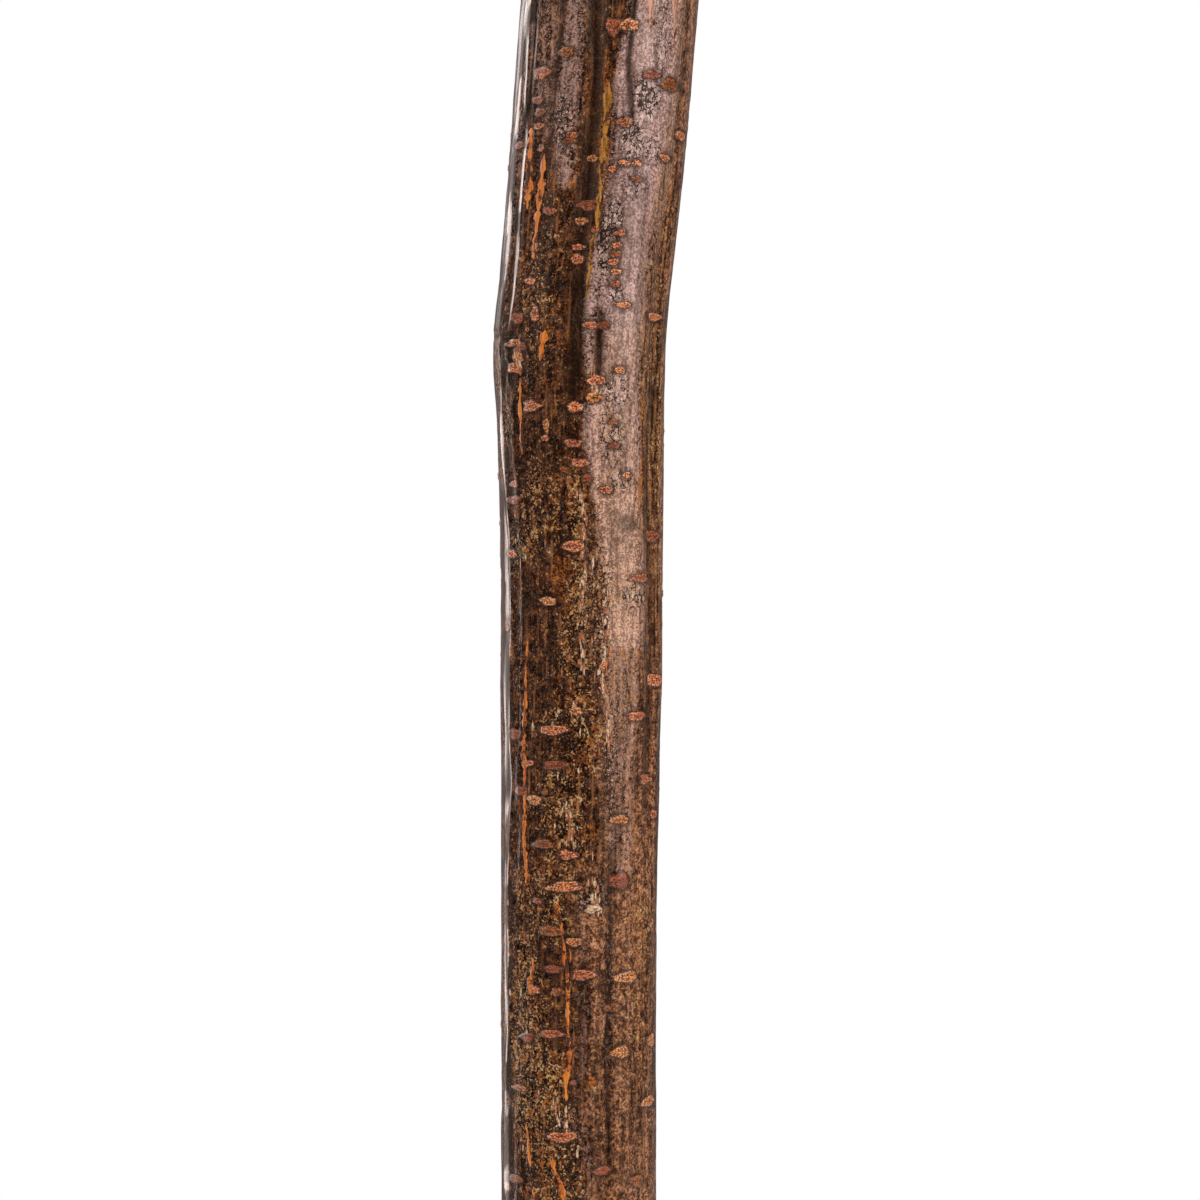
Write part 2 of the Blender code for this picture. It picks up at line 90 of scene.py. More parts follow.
def eased(share: Array | float) -> Array:
    """Run smoothly from 0 to 1.

    Args:
        share: How far along each value is. Below 0 and above 1 it is held.

    Returns:
        The eased values.
    """
    held = np.clip(share, 0.0, 1.0)
    return held * held * (3.0 - 2.0 * held)


def bell(share: Array) -> Array:
    """Return a bell curve that is 1 at 0 and falls off over about 1 on each side."""
    return np.exp(-0.5 * share * share)


def laid(ground: Array, covers: Iterable[Array]) -> Array:
    """Lay covers over a ground, so that the strongest one counts at each place."""
    return np.maximum.reduce([ground, *covers])


def turn_between(angles: Array, other: float) -> Array:
    """Return the shortest way round from one angle to the others, in degrees."""
    return (angles - other + 180.0) % 360.0 - 180.0


def srgb(red: float, green: float, blue: float) -> Colour:
    """Turn a colour as it is seen on a screen into the light values that a shader takes.

    Args:
        red: Red, 0 to 255.
        green: Green, 0 to 255.
        blue: Blue, 0 to 255.

    Returns:
        The colour with an alpha of 1.
    """
    levels = [part / 255.0 for part in (red, green, blue)]
    light = [level / 12.92 if level <= 0.04045 else ((level + 0.055) / 1.055) ** 2.4 for level in levels]
    return (light[0], light[1], light[2], 1.0)


# Colours that come up more than once.
WHITE = (1.0, 1.0, 1.0, 1.0)
DEEP_BROWN = srgb(30, 15, 8)
RIM_BROWN = srgb(40, 20, 12)


class Grain:
    """Seeded smooth unevenness over the bark, which joins up behind the stick."""

    def __init__(self, seed: int, cells_round: int, cell_height: float) -> None:
        """Draw the lattice.

        Args:
            seed: The seed of the draw.
            cells_round: How many cells go round the stick.
            cell_height: The height of a cell.
        """
        levels = int(1.0 / cell_height) + 3
        self.cells_round = cells_round
        self.cell_height = cell_height
        self.lattice = np.random.default_rng(seed).uniform(-1.0, 1.0, (levels, cells_round))

    def at(self, angles: Array, heights: Array) -> Array:
        """Read the unevenness, from -1 to 1.

        Args:
            angles: Angles round the stick.
            heights: Heights on the stick.

        Returns:
            One value for each place.
        """
        across = np.mod(angles / 360.0, 1.0) * self.cells_round
        up = heights / self.cell_height
        left = np.floor(across).astype(int)
        low = np.floor(up).astype(int)
        share_across = eased(across - left)
        share_up = eased(up - low)
        left %= self.cells_round
        right = (left + 1) % self.cells_round
        bottom = self.lattice[low, left] * (1.0 - share_across) + self.lattice[low, right] * share_across
        top = self.lattice[low + 1, left] * (1.0 - share_across) + self.lattice[low + 1, right] * share_across
        return bottom * (1.0 - share_up) + top * share_up


@dataclass(frozen=True)
class Bend:
    """A place where the stick changes direction."""

    height: float
    towards_x: float
    towards_y: float
    softness: float


@dataclass(frozen=True)
class Flute:
    """A long groove or ridge down the stick. A negative depth is a ridge."""

    angle: float
    depth: float
    half_width: float
    bottom: float
    top: float


@dataclass(frozen=True)
class Knot:
    """A swelling where a twig grew."""

    height: float
    angle: float
    swell: float
    half_width: float
    half_height: float


BENDS = (
    Bend(0.1100, -0.45, 0.60, 0.0160),
    Bend(0.3000, 0.94, -1.10, 0.0240),
    Bend(0.4550, -0.49, 0.10, 0.0200),
    Bend(0.5710, 1.00, 0.40, 0.0060),
    Bend(0.5960, -1.00, 0.00, 0.0060),
    Bend(0.6260, -0.90, 0.00, 0.0040),
    Bend(0.6450, 0.90, 0.00, 0.0040),
    Bend(0.6545, 6.00, 0.90, 0.0025),
    Bend(0.6720, -1.30, 0.00, 0.0050),
    Bend(0.7400, -3.20, -0.90, 0.0100),
    Bend(0.7850, -1.50, 0.00, 0.0080),
)
FLUTES = (
    Flute(-6, 0.0008, 8, 0.640, 0.820),
    Flute(8, 0.0005, 6, 0.622, 0.700),
    Flute(28, -0.0006, 14, 0.590, 0.815),
    Flute(61, 0.0006, 7, 0.555, 0.700),
    Flute(0, 0.0006, 5, 0.430, 0.572),
    Flute(22, 0.0006, 6, 0.440, 0.572),
    Flute(-62, -0.0004, 8, 0.450, 0.800),
    Flute(122, 0.0007, 10, 0.300, 0.740),
    Flute(155, 0.0008, 12, 0.420, 0.810),
    Flute(196, -0.0006, 14, 0.250, 0.700),
    Flute(232, 0.0007, 10, 0.330, 0.780),
    Flute(262, 0.0006, 9, 0.180, 0.480),
    Flute(-20, 0.0005, 10, 0.120, 0.400),
    Flute(52, -0.0005, 12, 0.150, 0.430),
    Flute(128, 0.0005, 10, 0.090, 0.330),
    Flute(300, -0.0004, 12, 0.090, 0.420),
)
KNOTS = (
    Knot(0.772, 118, 0.0022, 16, 0.008),
    Knot(0.735, -122, 0.0016, 14, 0.007),
    Knot(0.655, -80, 0.0004, 22, 0.006),
    Knot(0.604, 172, 0.0020, 17, 0.008),
    Knot(0.480, -128, 0.0018, 17, 0.008),
    Knot(0.402, 64, 0.0018, 17, 0.007),
    Knot(0.318, -58, 0.0016, 18, 0.007),
    Knot(0.226, 148, 0.0015, 19, 0.006),
    Knot(0.142, 22, 0.0013, 20, 0.006),
)
# The stick's thickness above the trued foot: height, then thickness.
GIRTH_ABOVE_FOOT = (
    (0.2500, 0.0214), (0.4000, 0.0229), (0.5200, 0.0240), (0.5700, 0.0244), (0.5900, 0.0248),
    (0.6010, 0.0253), (0.6140, 0.0251), (0.6260, 0.0254), (0.6390, 0.0259), (0.6510, 0.0266),
    (0.6640, 0.0268), (0.6760, 0.0274), (0.7080, 0.0278), (0.7800, 0.0282),
)


@dataclass(frozen=True)
class StickForm:
    """The stick's own shape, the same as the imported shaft's."""

    bottom: float
    lower_shoulder: float
    upper_shoulder: float
    top: float
    foot: tuple[float, float]
    head: tuple[float, float]
    foot_girth: float = 0.0196
    head_girth: float = 0.0288
    trued_end: float = 0.0450
    shoulder_chamfer: float = 0.0012

    @classmethod
    def from_frame(cls) -> "StickForm":
        """Take the stick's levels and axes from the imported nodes.

        Returns:
            The stick's form.
        """
        shaft_low, shaft_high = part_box("shaft")
        sleeve_low, sleeve_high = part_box("ferrule_sleeve")
        collar_low, collar_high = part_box("collar")
        return cls(
            bottom=shaft_low[2],
            lower_shoulder=sleeve_high[2] + SEAT_GAP,
            upper_shoulder=collar_low[2] - SEAT_GAP,
            top=shaft_high[2],
            foot=((sleeve_low[0] + sleeve_high[0]) / 2, (sleeve_low[1] + sleeve_high[1]) / 2),
            head=((collar_low[0] + collar_high[0]) / 2, (collar_low[1] + collar_high[1]) / 2),
        )

    def bent(self, heights: Array) -> Array:
        """Find how far the bends below each height have carried the stick.

        Args:
            heights: Heights on the stick.

        Returns:
            The way in x and y, in the last axis.
        """
        carried = np.zeros(np.shape(heights) + (2,))
        for bend in BENDS:
            run = (heights - bend.height) / bend.softness
            past = bend.softness * (np.maximum(run, 0.0) + np.log1p(np.exp(-np.abs(run))))
            carried[..., 0] += math.tan(math.radians(bend.towards_x)) * past
            carried[..., 1] += math.tan(math.radians(bend.towards_y)) * past
        return carried

    def centre(self, heights: Array) -> Array:
        """Find the middle of the stick, which runs upright into the ferrule and the collar.

        Args:
            heights: Heights on the stick.

        Returns:
            The x and y of the middle, in the last axis.
        """
        foot = self.bent(np.float64(self.lower_shoulder))
        leaves_foot = eased((heights - self.lower_shoulder) / self.trued_end)[..., None]
        meets_head = eased((heights - self.upper_shoulder) / self.trued_end + 1.0)[..., None]
        place = (self.bent(heights) - foot) * leaves_foot
        offset = np.subtract(self.head, self.foot)
        return np.add(self.foot, place + (offset - place) * meets_head)

    def radius(self, angles: Array, heights: Array) -> Array:
        """Find how far the bark lies from the middle, with the flutes and knots.

        Args:
            angles: Angles round the stick.
            heights: Heights on the stick.

        Returns:
            The radius at each place.
        """
        foot, head = (self.lower_shoulder, self.foot_girth), (self.upper_shoulder, self.head_girth)
        levels, widths = zip(foot, *GIRTH_ABOVE_FOOT, head)
        radius = np.interp(heights, levels, widths) / 2.0
        for flute in FLUTES:
            fade = (flute.top - flute.bottom) / 4.0
            run = eased((heights - flute.bottom) / fade) * eased((flute.top - heights) / fade)
            radius = radius - flute.depth * run * bell(turn_between(angles, flute.angle) / flute.half_width)
        for knot in KNOTS:
            side = turn_between(angles, knot.angle) / knot.half_width
            rise = (heights - knot.height) / knot.half_height
            radius = radius + knot.swell * np.exp(-0.5 * (side * side + rise * rise))
        return radius


@dataclass(frozen=True)
class Viewpoint:
    """Where the photograph was taken from, and how its pixels fall on the stick."""

    middle_x: float = 0.003125
    middle_z: float = 0.61375
    distance: float = 0.5208
    pixels_per_metre: float = 6400.0
    half_picture: float = 600.0
    first_depth: float = -0.0125
    furthest_out: float = 0.985
    rounds: int = 8

    def onto_bark(self, columns: Array, rows: Array, form: StickForm) -> tuple[Array, Array]:
        """Carry pixels of the photograph onto the stick.

        Args:
            columns: Pixel columns.
            rows: Pixel rows.
            form: The stick's shape.

        Returns:
            The angle and the height that each pixel shows.
        """
        # A pixel's place on the bark depends on how near the bark is, which a few rounds settle.
        depth = np.full(np.shape(columns), self.first_depth)
        angles = np.zeros(np.shape(columns))
        heights = np.zeros(np.shape(columns))
        for _ in range(self.rounds):
            reach = (self.distance + depth) / self.distance
            x = self.middle_x + (columns - self.half_picture) / self.pixels_per_metre * reach
            heights = self.middle_z - (rows - self.half_picture) / self.pixels_per_metre * reach
            centre = form.centre(heights)
            radius = form.radius(angles, heights)
            share = np.clip((x - centre[..., 0]) / radius, -self.furthest_out, self.furthest_out)
            angles = np.degrees(np.arcsin(share))
            depth = centre[..., 1] - radius * np.cos(np.radians(angles))
        return angles, heights

    def seen_at(self, points: Array) -> tuple[Array, Array]:
        """Find where points show in the photograph.

        Args:
            points: Places, with x, y and z in the last axis.

        Returns:
            Their columns and rows.
        """
        reach = (self.distance + points[..., 1]) / self.distance
        scale = self.pixels_per_metre / reach
        columns = self.half_picture + (points[..., 0] - self.middle_x) * scale
        rows = self.half_picture - (points[..., 2] - self.middle_z) * scale
        return columns, rows


@dataclass(frozen=True)
class Furrow:
    """A valley down the bark in the photograph, or a ridge where its depth is negative."""

    depth: float
    shade: float
    half_width: float
    course: tuple[tuple[float, float], ...]
    run_out: float = 30.0

    def cover(self, columns: Array, rows: Array) -> Array:
        """Find how much of the furrow lies over each pixel.

        Args:
            columns: Pixel columns.
            rows: Pixel rows.

        Returns:
            The cover, from 0 to 1.
        """
        levels, middles = zip(*self.course)
        starts = eased((rows - levels[0]) / self.run_out + 0.7)
        stops = eased((levels[-1] - rows) / self.run_out + 0.7)
        return starts * stops * bell((columns - np.interp(rows, levels, middles)) / self.half_width)


# Valleys and ridges of the photographed stretch: depth in mm, the painted shade in their bottom, half width
# in pixels, (row, column).
FURROWS = (
    Furrow(0.35, 1, 6.0, ((-120, 598), (0, 596), (60, 597), (100, 594), (140, 590), (180, 588), (230, 583),
        (280, 580), (320, 577), (360, 574), (400, 572))),
    Furrow(0.12, 1.0, 2.5, ((-60, 640), (10, 634), (60, 629), (110, 630), (125, 631))),
    Furrow(0.20, 0.57, 3.0, ((-60, 566), (0, 564), (50, 557), (100, 552), (130, 551))),
    Furrow(0.12, 0.34, 2.0, ((0, 536), (100, 530), (160, 519), (250, 514), (330, 508))),
    Furrow(0.35, 1, 4.5, ((315, 604), (330, 601), (360, 600), (385, 598))),
    Furrow(-0.12, 0, 1.5, ((250, 585), (290, 578), (320, 573), (350, 575), (380, 579))),
    Furrow(0.06, 0.75, 3.0, ((300, 668), (340, 664), (370, 657), (400, 651), (430, 648), (470, 646),
        (520, 648), (600, 650), (700, 650), (800, 647))),
    Furrow(0.10, 0.6, 1.8, ((380, 660), (430, 655), (500, 655), (560, 657), (650, 658))),
    Furrow(0.24, 0.62, 3.0, ((820, 618), (860, 611), (900, 607), (920, 613), (960, 612), (1000, 609),
        (1060, 607), (1120, 607), (1165, 607), (1200, 603))),
    Furrow(0.10, 0.35, 2.4, ((640, 619), (700, 618), (760, 616), (820, 622), (850, 618))),
    Furrow(0.10, 0.35, 2.2, ((620, 633), (700, 631), (780, 632), (860, 634))),
    Furrow(0.10, 0.28, 2.0, ((880, 634), (960, 638), (1060, 637), (1200, 636))),
    Furrow(0.08, 0.25, 1.8, ((820, 643), (960, 644), (1100, 644), (1200, 646))),
    Furrow(0.12, 0.45, 2.5, ((20, 655), (70, 657), (110, 660), (140, 664))),
    Furrow(0.12, 0.25, 4.0, ((915, 590), (960, 586), (1000, 583), (1050, 581), (1100, 579), (1120, 578))),
    Furrow(0.12, 0.34, 1.3, ((500, 504.5), (560, 505), (600, 505.5), (700, 507), (760, 507), (880, 504.5),
        (950, 507), (1000, 506), (1100, 503))),
    Furrow(0.04, 1, 2.2, ((490, 500.5), (560, 501.5), (600, 502), (625, 503))),
    Furrow(0.06, 1, 1.6, ((625, 505.5), (660, 506), (700, 506.5), (760, 507), (800, 505.5))),
    Furrow(0.06, 1, 1.3, ((850, 506), (900, 505.5), (1000, 507))),
    Furrow(-0.10, 0, 1.5, ((0, 527), (100, 520), (200, 509), (300, 503), (335, 500))),
    Furrow(-0.12, 0, 1.4, ((370, 500), (430, 503), (500, 507), (560, 508.5), (600, 509.5), (700, 510.5),
        (760, 510), (880, 508), (950, 510.5), (1000, 509), (1100, 507), (1200, 505))),
    Furrow(-0.08, 0, 1.3, ((370, 510), (400, 513), (450, 515), (500, 519), (560, 523), (640, 524),
        (700, 523), (760, 519), (820, 521), (880, 520))),
    Furrow(-0.14, 0, 1.4, ((-120, 538), (0, 532), (100, 527), (150, 525), (200, 522.5), (250, 520),
        (300, 514), (335, 508))),
)


@dataclass(frozen=True)
class Band:
    """A strip of the bark with its own colour: its left and right edge at each row."""

    strength: float
    edges: tuple[tuple[float, float, float], ...]

    def cover(self, columns: Array, rows: Array, soft: float) -> Array:
        """Find how much of the band lies over each pixel.

        Args:
            columns: Pixel columns.
            rows: Pixel rows.
            soft: The width of its soft edges, in pixels.

        Returns:
            The cover, from 0 to the band's strength.
        """
        levels, lefts, rights = zip(*self.edges)
        left = np.interp(rows, levels, lefts)
        right = np.interp(rows, levels, rights)
        inside = eased((columns - left) / soft + 0.5) * eased((right - columns) / soft + 0.5)
        ends = eased((rows - levels[0]) / 25.0 + 1.0) * eased((levels[-1] - rows) / 25.0 + 1.0)
        return inside * ends * self.strength


@dataclass(frozen=True)
class Patch:
    """A soft-edged patch on the bark, in pixels of the photograph."""

    row: float
    column: float
    half_height: float
    half_width: float
    strength: float

    def cover(self, columns: Array, rows: Array) -> Array:
        """Find how much of the patch lies over each pixel.

        Args:
            columns: Pixel columns.
            rows: Pixel rows.

        Returns:
            The cover, from 0 to the patch's strength.
        """
        across = (columns - self.column) / self.half_width
        down = (rows - self.row) / self.half_height
        return self.strength * eased(1.6 - np.sqrt(across * across + down * down))


def patches(*rows: tuple[float, ...]) -> tuple[Patch, ...]:
    """Make a patch of each row of numbers, which come in the order of Patch's fields."""
    return tuple(Patch(*row) for row in rows)


# The dusky mauve film over the bark, partly its own colour and partly a painted sheen of the varnish:
# strength, then (row, left, right).
MAUVE_FILM_AND_SHEEN_BANDS = (
    Band(1.0, ((-100, 642, 684), (0, 641, 683), (50, 622, 681), (100, 615, 676), (150, 612, 672),
        (180, 604, 667), (220, 601, 658), (260, 598, 650), (300, 596, 646), (340, 604, 643),
        (380, 602, 640), (400, 586, 638), (440, 586, 638), (480, 592, 640), (520, 600, 645),
        (560, 602, 646), (600, 605, 645), (640, 606, 646))),
    Band(0.48, ((650, 602, 646), (700, 602, 646), (760, 604, 640), (820, 604, 636), (880, 604, 640))),
    Band(0.3, ((880, 604, 640), (950, 612, 640), (1300, 612, 640))),
    Band(0.60, ((-40, 568, 588), (20, 562, 588), (60, 558, 588), (100, 552, 586), (150, 550, 578),
        (180, 556, 576))),
    Band(0.42, ((-60, 536, 560), (130, 530, 560))),
    Band(0.9, ((240, 590, 601), (290, 587, 599), (322, 583, 595), (370, 586, 597))),
    Band(0.5, ((0, 521, 534), (60, 517, 531), (100, 514, 527), (160, 510, 523), (250, 504, 512),
        (330, 497, 508))),
    Band(0.38, ((905, 576, 594), (1300, 576, 594))),
)
# Middle brown bark between the dark and the mauve: strength, then (row, left, right).
BROWN_BANDS = (
    Band(0.40, ((-100, 534, 560), (130, 534, 560))),
    Band(0.85, ((-100, 676, 700), (100, 670, 700), (220, 652, 690), (340, 637, 680), (480, 640, 670),
        (700, 647, 665))),
    Band(0.70, ((340, 490, 508), (1300, 490, 512))),
    Band(0.80, ((900, 590, 607), (1300, 590, 607))),
    Band(0.85, ((880, 610, 656), (1300, 610, 656))),
    Band(0.74, ((700, 596, 656), (900, 596, 656))),
    Band(0.50, ((340, 590, 640), (480, 590, 640))),
    Band(0.80, ((480, 596, 648), (560, 582, 648), (650, 582, 648), (700, 600, 656))),
    Band(0.60, ((870, 560, 608), (960, 572, 608))),
)
# Where the brown turns amber.
AMBER_PATCHES = patches(
    (572, 563, 22, 10, 0.55), (600, 570, 30, 12, 0.4), (835, 592, 15, 8, 0.5), (490, 548, 36, 13, 0.35),
    (80, 608, 34, 5, 0.7), (150, 604, 40, 5, 0.6), (184, 574.5, 6, 4, 0.9), (1082, 592.7, 6, 4, 0.9),
    (450, 643, 60, 3, 0.8), (1110, 586, 40, 3, 0.5), (100, 592, 60, 4, 0.5),
)
# Where golden specks lie close together.
GOLD_PATCHES = patches(
    (300, 540, 60, 20, 0.6), (260, 545, 30, 20, 0.6), (250, 655, 60, 10, 0.7), (200, 662, 40, 10, 0.8),
    (360, 655, 40, 10, 0.8), (440, 652, 50, 9, 1.0), (530, 657, 60, 6, 0.8), (420, 650, 90, 10, 0.9),
    (440, 616, 36, 16, 0.9), (590, 622, 36, 16, 1.0), (680, 624, 50, 14, 0.7), (1000, 632, 90, 16, 0.6),
    (930, 640, 30, 12, 0.9), (505, 542, 44, 22, 0.64), (548, 526, 16, 14, 0.8), (500, 576, 40, 12, 0.9),
    (560, 590, 26, 8, 0.7), (615, 588, 66, 17, 1.0), (650, 568, 36, 16, 0.7), (712, 578, 24, 12, 0.9),
    (730, 592, 50, 12, 0.8), (722, 550, 14, 18, 0.8), (800, 560, 60, 22, 0.8), (850, 570, 40, 20, 0.7),
    (900, 550, 40, 30, 0.8), (980, 525, 60, 16, 0.9), (1040, 530, 50, 18, 1.0), (1090, 540, 50, 25, 1.0),
    (1140, 550, 40, 25, 0.9), (1190, 560, 30, 25, 0.8),
)
# Rough, flaking or wrinkled bark.
ROUGH_PATCHES = patches(
    (350, 510, 20, 12, 0.9), (380, 508, 22, 7, 0.6), (610, 593, 70, 18, 0.55), (895, 595, 15, 15, 0.8),
    (1120, 565, 20, 12, 0.6), (98, 647, 20, 12, 0.9), (138, 632, 24, 12, 0.65), (150, 652, 16, 9, 0.5),
    (20, 630, 22, 6, 0.6), (34, 664, 46, 11, 0.35), (185, 634, 14, 14, 0.40), (120, 564, 26, 10, 0.7),
    (220, 614, 20, 9, 0.6), (248, 605, 28, 7, 0.9), (296, 616, 8, 7, 0.8), (390, 616, 16, 12, 0.65),
    (436, 612, 30, 12, 0.5), (480, 620, 12, 12, 0.5), (596, 634, 14, 10, 0.7), (760, 610, 60, 8, 0.5),
    (1000, 609, 90, 6, 0.6),
)
# Darker stretches, the first five of them a smudge on the mauve film. The one at row 545 down the left
# outline and the last two down the right outline are painted shade at the stick's edges.
DARK_PATCHES = patches(
    (524, 627, 10, 13, 0.72), (536, 619, 14, 9, 0.50), (519, 617, 10, 8, 0.60), (490, 622, 36, 18, 0.30),
    (550, 626, 14, 18, 0.34), (548, 561, 9, 4, 0.80), (300, 567, 36, 9, 0.45), (365, 560, 30, 9, 0.40),
    (440, 535, 36, 12, 0.35), (600, 524, 40, 9, 0.55), (660, 530, 40, 10, 0.30), (800, 519, 50, 6, 0.40),
    (846, 544, 12, 9, 0.55), (925, 523, 14, 9, 0.50), (950, 545, 30, 9, 0.35), (1040, 555, 14, 9, 0.45),
    (1050, 582, 60, 6, 0.40), (1165, 515, 30, 8, 0.45), (358, 505, 26, 7, 0.45), (545, 501, 50, 3.5, 0.90),
    (600, 524, 200, 4, 0.20), (860, 655, 90, 4, 0.30), (1000, 654, 90, 4, 0.30),
)
# Lines of pale flakes: half width in pixels, then (row, column).
FLAKE_LINES = (
    (2.6, ((492, 580), (510, 583), (540, 585), (556, 583))), (2.2, ((563, 585), (590, 584), (612, 580))),
    (2.8, ((624, 579), (640, 583), (655, 582), (672, 581))), (3.5, ((590, 608), (620, 605), (640, 610))),
    (2.5, ((640, 604), (672, 602), (720, 608), (750, 609))), (3.5, ((1096, 556), (1128, 558))),
    (2.5, ((1104, 567), (1134, 566))), (5.0, ((880, 591), (914, 597))), (3.0, ((586, 633), (600, 631))),
    (3.5, ((366, 590), (398, 599))), (3.5, ((336, 516), (374, 519))), (2.5, ((705, 573), (716, 576))),
    (5.0, ((800, 566), (850, 574))),
)
# Where the varnish is smoothest, along the left of the photographed stretch.
POLISHED = Band(1.0, ((-140, 480, 540), (130, 480, 532), (330, 480, 512), (345, 480, 513), (1340, 480, 514)))
# The raised pores of the photographed stretch: column, row, width and height in pixels.
PORES = (
    (566, 52, 17, 9), (614, 26, 18, 15), (629, 25, 18, 12), (542, 73, 14, 12), (538, 100, 11, 7),
    (540, 112, 10, 7), (539, 126, 9, 6), (652, 75, 17, 9), (670, 85, 18, 12), (625, 122, 15, 9),
    (681, 136, 10, 9), (572, 135, 10, 6), (569, 141, 12, 5), (665, 158, 12, 7), (592, 158, 10, 7),
    (624, 163, 11, 6), (637, 163, 8, 6), (612, 169, 8, 6), (637, 179, 10, 6), (541, 148, 7, 6),
    (520, 145, 7, 6), (587, 205, 20, 9), (550, 211, 13, 7), (620, 233, 11, 6), (595, 229, 8, 6),
    (681, 182, 7, 9), (581, 221, 13, 7), (578, 247, 12, 6), (577, 259, 13, 9), (616, 245, 10, 6),
    (615, 254, 10, 6), (613, 262, 10, 6), (616, 272, 10, 6), (615, 284, 10, 6), (530, 281, 11, 6),
    (624, 305, 14, 6), (653, 317, 14, 9), (590, 325, 14, 7), (603, 325, 11, 7), (517, 318, 10, 10),
    (535, 314, 8, 13), (596, 380, 17, 10), (593, 398, 15, 10), (620, 370, 10, 7), (531, 406, 16, 10),
    (575, 407, 17, 9), (613, 422, 10, 6), (573, 443, 16, 8), (614, 446, 11, 6), (580, 463, 18, 8),
    (587, 478, 10, 8), (564, 469, 8, 6), (627, 475, 8, 6), (606, 490, 12, 8), (514, 484, 7, 6),
    (514, 500, 10, 8), (546, 426, 6, 14), (545, 438, 7, 6), (573, 546, 19, 12), (652, 536, 12, 11),
    (642, 578, 22, 8), (548, 601, 16, 8), (511, 554, 10, 7), (506, 625, 6, 10), (655, 680, 13, 12),
    (638, 716, 18, 9), (553, 730, 27, 9), (515, 734, 10, 9), (576, 711, 12, 8), (603, 666, 7, 6),
    (555, 765, 24, 8), (528, 763, 10, 6), (645, 779, 13, 9), (654, 814, 6, 9), (620, 820, 20, 8),
    (534, 800, 14, 9), (545, 792, 6, 6), (520, 791, 7, 8), (543, 844, 18, 9), (568, 855, 17, 9),
    (620, 881, 20, 14), (564, 887, 33, 10), (537, 901, 8, 6), (551, 931, 25, 9), (574, 942, 16, 8),
    (553, 969, 18, 7), (583, 975, 22, 11), (627, 977, 22, 11), (557, 992, 13, 8), (536, 990, 8, 6),
    (613, 1008, 15, 8), (551, 1034, 23, 8), (527, 1037, 13, 8), (651, 1040, 8, 12), (621, 1052, 15, 12),
    (520, 1088, 12, 6), (649, 1101, 12, 10), (562, 1137, 31, 10), (602, 1171, 19, 8), (516, 1179, 12, 7),
    (637, 1181, 14, 11), (573, 1083, 7, 5), (514, 343, 12, 7), (521, 347, 9, 8), (518, 357, 8, 11),
    (515, 368, 12, 9),
)
# A pale knot: column, row, width and height in pixels.
PALE_KNOT = (593, 909, 15, 9)


class SplitTone(Enum):
    """The colour of the young bark that shows in a split."""

    ORANGE = 0.0
    OCHRE = 0.5
    PEACH = 1.0


